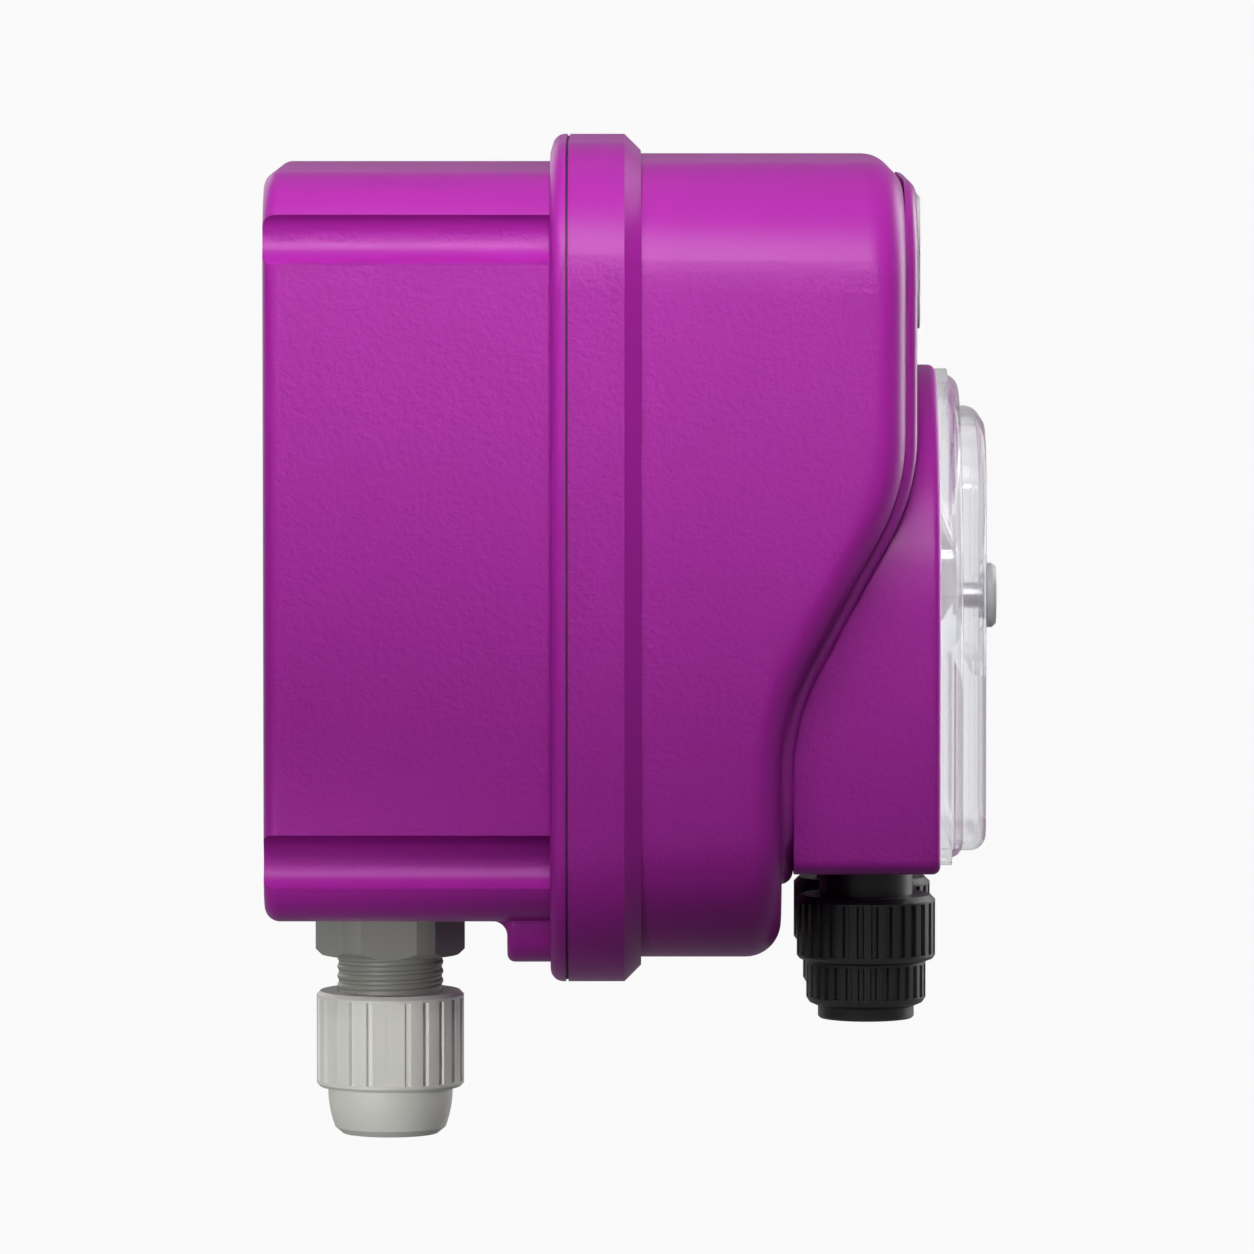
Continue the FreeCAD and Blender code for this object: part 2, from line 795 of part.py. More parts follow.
def chamber_points():
    """Track over the rotor, a relief for the round tube legs and a flat floor."""
    half = []
    lower = "chamber_bottom+relief_corner"
    start = "axis_height-relief_drop"
    half.append(("relief_radius-relief_corner", "chamber_bottom", "relief_corner"))
    half.append(("relief_radius", lower))
    half.append(("relief_radius", f"{start}-(relief_radius-track_radius)"))
    half.append(("track_radius", start))
    half.append(("track_radius", "axis_height", "track_radius"))
    half.append(("0", "axis_height+track_radius", "track_radius"))
    mirrored = [
        ("-track_radius", "axis_height"),
        ("-track_radius", start),
        ("-relief_radius", f"{start}-(relief_radius-track_radius)"),
        ("-relief_radius", lower, "relief_corner"),
        ("-relief_radius+relief_corner", "chamber_bottom"),
    ]
    return half + mirrored


def head_screw_places():
    return [
        (f"{side}*head_screw_side", f"axis_height+{rise}*head_screw_rise")
        for side in (-1, 1) for rise in (1, -1)
    ]


def make_pump_head():
    nose = padded("Nose", "YZ", "lower_face-2", "head_face-lower_face+2",
                  arch_points("head_radius", "head_bottom", "head_corner"))
    rounded_edges(nose, "NoseEdge", "head_edge_round", at_x("head_face"))
    behind = swept_form("NoseBack", "lower_face-6", "head_face", "-panel_thickness",
                        frame_points("front_half+5", "front_bottom-5", "front_top+5", "1", "1"))
    skin = cut("NoseSkin", nose, [behind])
    bucket = padded("Bucket", "YZ", "head_rear", "head_face-head_rear-2", opening_points("0"))
    chamber = padded("Chamber", "YZ", "chamber_floor", "head_face-chamber_floor+1", chamber_points())
    tools = [chamber, cylinder("BearingSeat", "X", ("head_rear-1", "0", "axis_height"),
                               "bearing_diameter/2", "20")]
    for i, side in enumerate((-1, 1)):
        across = f"{side}*hose_pitch/2"
        tools.append(cylinder(f"StemSeat{i}", "Z", ("tube_plane", across, "head_bottom-1"),
                              "stem_diameter/2+running_gap", "chamber_bottom-head_bottom+2"))
        tools.append(box(f"StemSlot{i}", ("tube_plane", f"{across}-stem_diameter/2-running_gap",
                                          "head_bottom-1"),
                         ("head_face-tube_plane+1", "stem_diameter+2*running_gap",
                          "chamber_bottom-head_bottom+2")))
    for i, (y, z) in enumerate(head_screw_places()):
        tools.append(cylinder(f"HeadScrewHole{i}", "X", ("head_rear-1", y, z), "screw_diameter/2", "12"))
        tools.append(cylinder(f"HeadScrewSink{i}", "X", ("chamber_floor-head_screw_sink", y, z),
                              "screw_head/2+fit_gap", "head_screw_sink+1"))
    node("pump_head", cut("PumpHead", fuse("HeadFull", [skin, bucket]), tools))


def make_cover():
    flange = padded("CoverFlange", "YZ", "head_face", "cover_flange",
                    arch_points("head_radius-cover_inset", "cover_bottom", "head_corner"))
    dome_radius = "(head_radius-dome_inset)"
    dome = padded("CoverDome", "YZ", "head_face", "dome_face-head_face",
                  arch_points(dome_radius, "cover_bottom+1", "dome_corner"))
    rounded_edges(dome, "DomeEdge", "dome_edge_round", at_x("dome_face"))
    window = padded("CoverWindow", "YZ", "head_face", "window_face-head_face",
                    frame_points("window_width/2", "window_bottom", "window_top",
                                 "window_corner_lower", "window_corner_upper"))
    rounded_edges(window, "WindowEdge", "window_round", at_x("window_face"))
    ring = cylinder("BossRing", "X", ("dome_face", "0", "axis_height"), "boss_ring/2",
                    "window_face-dome_face+boss_lift")
    dome_hollow = padded("DomeHollow", "YZ", "head_face-1", "dome_face-dome_wall-head_face+1",
                         arch_points(f"{dome_radius}-dome_wall", "cover_bottom+1+dome_wall",
                                     "dome_corner-dome_wall"))
    window_hollow = padded("WindowHollow", "YZ", "head_face-1", "window_face-dome_wall-head_face+1",
                           frame_points("window_width/2-dome_wall", "window_bottom+dome_wall",
                                        "window_top-dome_wall", "window_corner_lower-dome_wall",
                                        "window_corner_upper-dome_wall"))
    bush_hole = cylinder("BushHole", "X", ("dome_face", "0", "axis_height"),
                         "journal_diameter/2+bush_wall", "10")
    rib = box("WindowRib", ("window_face-dome_wall-rib_depth", "-window_width/2+dome_wall/2",
                            "rib_height-rib_thickness/2"),
              ("rib_depth+dome_wall/2", "window_width-dome_wall", "rib_thickness"))
    outer = fuse("CoverOuter", [flange, dome, window, ring])
    shell = cut("CoverShell", outer, [dome_hollow, window_hollow])
    node("head_cover", cut("HeadCover", fuse("CoverFull", [shell, rib]), [bush_hole]))
    spigot = "journal_diameter/2+bush_wall"
    bore = "journal_diameter/2+running_gap"
    bush = turned("Bush", "X", ("0", "0", "axis_height"), [
        ("window_face-dome_wall", bore),
        ("window_face-dome_wall", spigot),
        ("window_face+boss_lift", spigot),
        ("window_face+boss_lift", "boss_diameter/2"),
        ("boss_face-0.6", "boss_diameter/2"),
        ("boss_face", "boss_diameter/2-0.6"),
        ("boss_face", "0"),
        ("boss_face-0.8", "0"),
        ("boss_face-0.8", bore),
    ])
    node("cover_bush", bush)


def around_axis(index, radius):
    """One of three places round the rotor axis, as (y, z)."""
    turn = f"{90 + 120 * index}"
    return f"({radius})*cos({turn})", f"axis_height+({radius})*sin({turn})"


ROLLER_CIRCLE = "(track_radius-tube_wall_pair-fit_gap-roller_diameter/2)"
ROTOR_REAR = "(chamber_floor+1.1)"
ROLLER_START = "(tube_plane-roller_length/2-0.1)"
CAP_START = "(tube_plane+roller_length/2+0.3)"


def make_rotor():
    axis = ("0", "0", "axis_height")
    profile = steps([(ROTOR_REAR, f"{ROLLER_CIRCLE}+rotor_rim"),
                     (f"{ROTOR_REAR}+rotor_plate", f"{ROLLER_CIRCLE}+rotor_rim"),
                     (f"{ROTOR_REAR}+rotor_plate", "hub_diameter/2"),
                     (CAP_START, "hub_diameter/2")], "shaft_diameter/2")
    hub = turned("RotorHub", "X", axis, profile)
    tools = []
    for i in range(3):
        y, z = around_axis(i, ROLLER_CIRCLE)
        tools.append(cylinder(f"RotorPinHole{i}", "X", ("chamber_floor", y, z), "pin_diameter/2", "20"))
        far_y, far_z = around_axis(i + 0.5, f"{ROLLER_CIRCLE}+scallop_reach")
        tools.append(cylinder(f"RotorScallop{i}", "X", ("chamber_floor", far_y, far_z),
                              "scallop_radius", f"{ROTOR_REAR}+rotor_plate-chamber_floor+fit_gap"))
    node("rotor", cut("Rotor", hub, tools))
    cap_body = turned("CapForm", "X", axis, steps([
        (CAP_START, f"{ROLLER_CIRCLE}+arm_radius"),
        (f"{CAP_START}+cap_plate", f"{ROLLER_CIRCLE}+arm_radius"),
        (f"{CAP_START}+2*cap_plate-0.4", "cap_nose_radius*2"),
        ("cap_front-0.5", "cap_nose_radius+0.5"),
        ("cap_front", "cap_nose_radius"),
    ], "journal_diameter/2"))
    arms = [cylinder("CapCentre", "X", (CAP_START, "0", "axis_height"), "cap_nose_radius+0.6", "10")]
    for i in range(3):
        y, z = around_axis(i, ROLLER_CIRCLE)
        arms.append(cylinder(f"ArmEnd{i}", "X", (CAP_START, y, z), "arm_radius", "10"))
        arm = box(f"Arm{i}", ("0", "0", "0"), ("10", ROLLER_CIRCLE, "2*arm_radius"))
        turn = 90 + 120 * i
        arm.Placement = FreeCAD.Placement(V(), FreeCAD.Rotation(V(1, 0, 0), turn))
        place(arm, (CAP_START, f"arm_radius*sin({turn})", f"axis_height-arm_radius*cos({turn})"))
        arms.append(arm)
    star = fuse("CapStar", arms)
    bore = [cylinder("CapBore", "X", (f"{CAP_START}-1", "0", "axis_height"), "shaft_diameter/2",
                     "cap_plate+2")]
    for i in range(3):
        y, z = around_axis(i, ROLLER_CIRCLE)
        bore.append(cylinder(f"CapPinHole{i}", "X", (f"{CAP_START}-1", y, z), "pin_diameter/2",
                             "cap_plate"))
    node("rotor_cap", cut("RotorCap", common("CapShape", [cap_body, star]), bore))


def make_rollers():
    pins = []
    for i in range(3):
        y, z = around_axis(i, ROLLER_CIRCLE)
        edge = "roller_edge"
        roller = turned(f"Roller{i}", "X", ("0", y, z), steps([
            (ROLLER_START, f"roller_diameter/2-{edge}"),
            (f"{ROLLER_START}+{edge}", "roller_diameter/2"),
            (f"{ROLLER_START}+roller_length-{edge}", "roller_diameter/2"),
            (f"{ROLLER_START}+roller_length", f"roller_diameter/2-{edge}"),
        ], "pin_diameter/2+running_gap"))
        node(f"roller_{i + 1}", roller)
        pins.append(cylinder(f"Pin{i}", "X", (f"{ROTOR_REAR}+0.4", y, z), "pin_diameter/2",
                             f"{CAP_START}+cap_plate-1-{ROTOR_REAR}-0.4"))
    node("roller_pins", group("RollerPins", pins))


def make_shaft():
    shaft = turned("Shaft", "X", ("0", "0", "axis_height"), steps([
        ("box_rear+1", "shaft_diameter/2-0.4"),
        ("box_rear+1.4", "shaft_diameter/2"),
        (f"{CAP_START}+cap_plate+1", "shaft_diameter/2"),
        (f"{CAP_START}+cap_plate+1", "journal_diameter/2"),
        ("window_face+0.4", "journal_diameter/2"),
    ]))
    node("drive_shaft", shaft)
    bearing = turned("Bearing", "X", ("0", "0", "axis_height"), [
        ("head_rear", "shaft_diameter/2+running_gap"),
        ("head_rear", "bearing_diameter/2"),
        ("chamber_floor", "bearing_diameter/2"),
        ("chamber_floor", "bearing_diameter/2+bearing_rim"),
        ("chamber_floor+bearing_rim_height", "bearing_diameter/2+bearing_rim"),
        ("chamber_floor+bearing_rim_height", "shaft_diameter/2+running_gap"),
    ])
    node("shaft_bearing", bearing)


def screws(name, places, head_at, tip_at, diameter="screw_diameter", head="screw_head",
           tall="screw_head_height"):
    """Screws along X. The head lies on the side of head_at, away from the tip."""
    pieces = []
    forward = number(tip_at) > number(head_at)
    for i, (y, z) in enumerate(places):
        ends = [(f"{head_at}{'-' if forward else '+'}({tall})", f"({head})/2"), (head_at, f"({head})/2"),
                (head_at, f"({diameter})/2"), (tip_at, f"({diameter})/2")]
        pieces.append(turned(f"{name}{i}", "X", ("0", y, z), steps(ends)))
    return group(name, pieces)


def make_head_screws():
    node("head_screws", screws("HeadScrews", head_screw_places(), "chamber_floor-head_screw_sink",
                               "head_rear-plate_thickness"))
    node("casing_screws", screws("CasingScrews", casing_corners(), "corner_screw_sink",
                                 "flange_start+corner_screw_grip"))


def flat_wire(y, z, thick, broad):
    """Flattened tube section across Z, in two half rounds and two flats."""
    x = number("tube_plane")
    half = broad / 2 - thick / 2
    corners = [(x - half, y - thick / 2), (x + half, y - thick / 2),
               (x + half, y + thick / 2), (x - half, y + thick / 2)]
    a, b, c, d = [V(p[0], p[1], z) for p in corners]
    right = V(x + broad / 2, y, z)
    left = V(x - broad / 2, y, z)
    edges = [Part.LineSegment(a, b), Part.Arc(b, right, c), Part.LineSegment(c, d), Part.Arc(d, left, a)]
    return Part.Wire([edge.toShape() for edge in edges])


def round_wire(y, z, radius):
    """Round section with the same four corners as the flattened one."""
    x = number("tube_plane")
    spots = [V(x + radius * math.cos(math.radians(t)), y + radius * math.sin(math.radians(t)), z)
             for t in range(-135, 225, 45)]
    arcs = [Part.Arc(spots[i], spots[i + 1], spots[(i + 2) % 8]) for i in range(0, 8, 2)]
    return Part.Wire([arc.toShape() for arc in arcs])


def leg_route(side):
    """Corners of a round tube leg, from the relief down onto its connector."""
    x, axis = number("tube_plane"), number("axis_height")
    track = side * number("track_radius-tube_wall_pair/2")
    pitch = side * number("hose_pitch/2")
    end = number("chamber_bottom+2")
    drop, straight, last_run = (number(name) for name in ("leg_drop", "leg_straight", "leg_end"))
    return [V(x, track, axis - drop), V(x, track, axis - drop - straight),
            V(x, pitch, end + last_run), V(x, pitch, end)]


def disc(spot, along, radius):
    return Part.Face(Part.Wire(Part.Circle(spot, along, radius).toShape()))


def swept_leg(side, radius):
    """Straight runs joined by tangent bends, each a plain cylinder or ring segment."""
    route = leg_route(side)
    bend = 1.25 * number("tube_diameter")
    solids = []
    last = route[0]
    for before, corner, after in zip(route, route[1:], route[2:]):
        incoming = (corner - before).normalize()
        outgoing = (after - corner).normalize()
        turn = incoming.getAngle(outgoing)
        cut_back = bend * math.tan(turn / 2)
        start = corner - incoming * cut_back
        axis = incoming.cross(outgoing).normalize()
        centre = start + axis.cross(incoming) * bend
        solids.append(disc(last, incoming, radius).extrude(start - last))
        solids.append(disc(start, incoming, radius).revolve(centre, axis, math.degrees(turn)))
        last = corner + outgoing * cut_back
    solids.append(disc(last, outgoing, radius).extrude(route[-1] - last))
    return solids[0].fuse(solids[1:])


def make_tube():
    """Held flat along the track where the rollers pass, round below it."""
    thick = number("tube_wall_pair")
    broad = number("tube_diameter+tube_diameter/2-1.2")
    centre = number("track_radius") - thick / 2
    axis = number("axis_height")
    radius = number("tube_diameter/2")
    section = Part.Face(flat_wire(centre, axis, thick, broad))
    solid = section.revolve(V(0, 0, axis), V(1, 0, 0), 180)
    bores = []
    for side in (1, -1):
        flat = flat_wire(side * centre, axis, thick, broad)
        low = axis - number("relief_drop")
        straight = Part.Face(flat).extrude(V(0, 0, low - axis))
        opening = Part.makeLoft([flat_wire(side * centre, low, thick, broad),
                                 round_wire(side * centre, axis - number("leg_drop"),
                                            radius)], True, True)
        solid = solid.fuse([straight, opening, swept_leg(side, radius)])
        bores.append(swept_leg(side, number("tube_bore/2")))
    shape = solid.cut(bores).removeSplitter()
    tube = doc.addObject("Part::Feature", "PumpTube")
    tube.Shape = shape
    node("pump_tube", tube)


def make_hose_side(name, side):
    """Connector in the slot of the head, with its hose ring and ribbed nut."""
    at = ("tube_plane", f"{side}*hose_pitch/2", "0")
    shoulder = "neck_diameter/2-nut_seat"
    hose = "hose_diameter/2"
    rim = "chamber_bottom+stem_rim_height"
    connector = turned(f"{name}Connector", "Z", at, [
        ("stem_bore/2", "nut_step-spigot_length+1"),
        (f"{hose}-spigot_wall-0.3", "nut_step-spigot_length+1"),
        (f"{hose}-spigot_wall", "nut_step+1"),
        (f"{hose}-spigot_wall", "nut_top-spigot_length"),
        (shoulder, "nut_top-spigot_length"),
        (shoulder, "nut_top+running_gap"),
        ("neck_diameter/2", "nut_top+running_gap"),
        ("neck_diameter/2", "head_bottom"),
        ("stem_diameter/2", "head_bottom"),
        ("stem_diameter/2", "chamber_bottom"),
        ("stem_diameter/2+stem_rim", "chamber_bottom"),
        ("stem_diameter/2+stem_rim", rim),
        ("tube_bore/2", rim),
        ("tube_bore/2", f"{rim}+barb_length"),
        ("stem_bore/2", f"{rim}+barb_length+0.2"),
    ])
    node(f"{name}_connector", connector)
    ring_low, ring_high = "nut_low+nut_floor", "nut_step+1"
    ferrule = turned(f"{name}Ferrule", "Z", at, [
        (f"{hose}+ferrule_play", ring_low),
        (f"{hose}+ferrule_wall", ring_low),
        (f"{hose}+ferrule_wall+ferrule_flare", ring_high),
        (f"{hose}+ferrule_play", ring_high),
    ])
    node(f"{name}_ferrule", ferrule)
    bevel = "0.3"
    inner = f"{shoulder}+running_gap"
    mouth = f"{hose}+4*ferrule_play"
    profile = turned(f"{name}NutForm", "Z", at, [
        (mouth, "nut_end"),
        (f"collar_diameter/2-{bevel}", "nut_end"),
        ("collar_diameter/2", f"nut_end+{bevel}"),
        ("collar_diameter/2", "nut_low-0.6"),
        ("nut_low_diameter/2-0.5", "nut_low"),
        ("nut_low_diameter/2", "nut_low+0.8"),
        ("nut_low_diameter/2", "nut_step-0.4"),
        ("nut_diameter/2-0.4", "nut_step"),
        ("nut_diameter/2", "nut_step+0.5"),
        ("nut_diameter/2", "nut_top-0.8"),
        ("nut_diameter/2-0.8", "nut_top"),
        (inner, "nut_top"),
        (inner, "nut_step+3"),
        (f"{hose}+ferrule_wall+ferrule_flare+running_gap", ring_high),
        (f"{hose}+ferrule_wall+running_gap", ring_low),
        (mouth, ring_low),
    ])
    ribs = rib_cutters(f"{name}Rib", at, "nut_ribs", "nut_diameter/2", "rib_depth_grip",
                       "nut_step+0.9", "nut_top-1.1")
    ribs_low = rib_cutters(f"{name}LowRib", at, "nut_ribs", "nut_low_diameter/2", "rib_depth_grip-0.15",
                           "nut_low+1", "nut_step-0.8")
    node(f"{name}_nut", cut(f"{name}Nut", profile, [ribs, ribs_low]))


def rib_cutters(name, at, count, circle, depth, low, high):
    """Ring of upright cutters with slanted sides that leaves grip ribs between them."""
    body = new_body(name, at)
    mouth, bottom = "(rib_mouth/2)", "(rib_mouth/5)"
    pad = body.newObject("PartDesign::Pad", "Notch")
    pad.Profile = outline(body, "XY", low, [
        (f"({circle})-({depth})", f"-{bottom}"), (f"({circle})+0.4", f"-{mouth}"),
        (f"({circle})+0.4", mouth), (f"({circle})-({depth})", bottom),
    ])
    bind(pad, "Length", f"({high})-({low})")
    pattern = body.newObject("PartDesign::PolarPattern", "Ring")
    pattern.Originals = [pad]
    axis = next(f for f in body.Origin.OriginFeatures if f.Role == "Z_Axis")
    pattern.Axis = (axis, [""])
    pattern.Angle = 360
    bind(pattern, "Occurrences", count)
    body.Tip = pattern
    return body


def hexagon(name, at, low, high):
    """Hex prism about Z with its corners trimmed round."""
    body = new_body(name, at)
    across = "(hex_flats/2)"
    points = []
    for i in range(6):
        turn = 60 * i
        points.append((f"{across}/cos(30)*cos({turn})", f"{across}/cos(30)*sin({turn})"))
    pad = body.newObject("PartDesign::Pad", "Hex")
    pad.Profile = outline(body, "XY", low, points)
    bind(pad, "Length", f"({high})-({low})")
    trim = turned(f"{name}Trim", "Z", at, [
        ("0", low), ("hex_corners/2-0.8", low), ("hex_corners/2", f"({low})+0.8"),
        ("hex_corners/2", f"({high})-0.4"), ("hex_corners/2-0.4", high), ("0", high),
    ])
    return common(f"{name}Hex", [body, trim])


def make_gland():
    at = ("gland_axis", "0", "0")
    low = "rear_bottom"
    neck = turned("GlandNeck", "Z", at, [
        ("0", "thread_end"), ("gland_thread/2-0.6", "thread_end"), ("gland_thread/2", "thread_end+0.6"),
        ("gland_thread/2", "hex_end"), ("inlet_thread/2", "hex_end"),
        ("inlet_thread/2", f"{low}+wall_thickness+locknut_thickness+2"),
        ("0", f"{low}+wall_thickness+locknut_thickness+2"),
    ])
    hex_part = hexagon("GlandBody", at, "hex_end", f"{low}-washer_thickness")
    bore = cylinder("GlandBore", "Z", ("gland_axis", "0", "thread_end-1"),
                    "cable_bore/2+gland_bore_wall", "40")
    node("gland_body", cut("GlandBodyBored", fuse("GlandBodyFull", [neck, hex_part]), [bore]))
    washer = turned("GlandWasher", "Z", at, [
        ("inlet_thread/2+running_gap", f"{low}-washer_thickness"), ("hex_flats/2-0.6",
                                                                    f"{low}-washer_thickness"),
        ("hex_flats/2-0.6", low), ("inlet_thread/2+running_gap", low),
    ])
    node("gland_washer", washer)
    locknut = hexagon("GlandLocknut", at, f"{low}+wall_thickness",
                      f"{low}+wall_thickness+locknut_thickness")
    hole = cylinder("LocknutHole", "Z", ("gland_axis", "0", low), "inlet_thread/2+running_gap", "20")
    node("gland_locknut", cut("GlandLocknutBored", locknut, [hole]))
    inner = "gland_thread/2+running_gap"
    nut_form = turned("GlandNutForm", "Z", at, [
        ("cable_bore/2+0.6", "gland_nut_end"),
        ("dome_end_diameter/2-1.2", "gland_nut_end"),
        ("dome_end_diameter/2", "gland_nut_end+1", "dome_end_diameter"),
        ("dome_top_diameter/2", "gland_nut_skirt"),
        ("gland_nut_diameter/2-0.5", "gland_nut_skirt"),
        ("gland_nut_diameter/2", "gland_nut_skirt+0.5"),
        ("gland_nut_diameter/2", "gland_nut_top-0.6"),
        ("gland_nut_diameter/2-0.6", "gland_nut_top"),
        (f"{inner}+0.1", "gland_nut_top"),
        (f"{inner}+0.1", "gland_nut_skirt+2"),
        ("cable_bore/2+seal_wall+fit_gap", "gland_nut_end+2.2"),
        ("cable_bore/2+0.6", "gland_nut_end+2.2"),
    ])
    flats = []
    for i, turn in enumerate((-90, 30, 150)):
        flat = box(f"GlandFlat{i}", ("0", "0", "0"), ("2", "8", "gland_nut_top-gland_nut_skirt-2"))
        flat.Placement = FreeCAD.Placement(V(), FreeCAD.Rotation(V(0, 0, 1), turn))
        reach = "(gland_nut_diameter/2-0.45)"
        place(flat, (f"gland_axis+{reach}*cos({turn})+4*sin({turn})",
                     f"{reach}*sin({turn})-4*cos({turn})", "gland_nut_skirt+1"))
        flats.append(flat)
    ribs = rib_cutters("GlandRib", at, "gland_ribs", "gland_nut_diameter/2", "rib_depth_grip-0.1",
                       "gland_nut_skirt+1", "gland_nut_top-1")
    node("gland_nut", cut("GlandNut", nut_form, [ribs] + flats))
    seal = turned("GlandSeal", "Z", at, [
        ("cable_bore/2", "gland_nut_end+2.5"), ("cable_bore/2+seal_wall", "gland_nut_end+2.5"),
        ("gland_thread/2-seal_seat", "gland_nut_skirt+2.3"), ("gland_thread/2-seal_seat", "thread_end"),
        ("cable_bore/2", "thread_end"),
    ])
    node("gland_seal", seal)


MOTOR_HEIGHT = "(axis_height+gear_module*(pinion_teeth+output_teeth)/2)"
BOX_HALF = "(gear_module*(output_teeth/2+1)+box_margin+box_wall)"
BOX_LOW = f"(axis_height-{BOX_HALF})"
BOX_HIGH = f"({MOTOR_HEIGHT}+motor_diameter/2+box_margin)"
BOX_FRONT = "(head_rear-plate_thickness)"
GEAR_START = "(box_rear+box_wall+3)"
PRESSURE_ANGLE = math.radians(20)


def involute_point(base, radius, turn, side):
    """Point on a flank, turned from the tooth's own centre line."""
    roll = math.acos(min(base / radius, 1))
    angle = turn + side * (math.tan(roll) - roll)
    return V(0, radius * math.cos(angle), radius * math.sin(angle))


def make_gear(name, teeth, height, phase, bore):
    """Spur gear about X with involute flanks, in the gear train's plane."""
    module = number("gear_module")
    count = int(number(teeth))
    pitch = module * count / 2
    base = pitch * math.cos(PRESSURE_ANGLE)
    tip, root = pitch + module * 0.92, pitch - module * 1.25
    start = max(base * 1.002, root + 0.15 * module)
    pitch_roll = math.tan(PRESSURE_ANGLE) - PRESSURE_ANGLE
    half = math.pi / (2 * count) - number("gear_backlash") / (2 * pitch) + pitch_roll
    corners = []
    for i in range(count):
        centre = phase + 2 * math.pi * i / count
        radii = [start + (tip - start) * share / 2 for share in range(3)]
        corners.append(V(0, root * math.cos(centre - half), root * math.sin(centre - half)))
        corners += [involute_point(base, r, centre - half, 1) for r in radii]
        corners += [involute_point(base, r, centre + half, -1) for r in reversed(radii)]
        corners.append(V(0, root * math.cos(centre + half), root * math.sin(centre + half)))
    rim = Part.makePolygon(corners + corners[:1])
    blank = Part.Face(rim).extrude(V(number("gear_width"), 0, 0))
    hole = Part.makeCylinder(number(bore), number("gear_width") + 2, V(-1, 0, 0), V(1, 0, 0))
    gear = doc.addObject("Part::Feature", name)
    gear.Shape = blank.cut(hole)
    gear.Placement = FreeCAD.Placement(V(number(GEAR_START), 0, number(height)), FreeCAD.Rotation())
    return gear


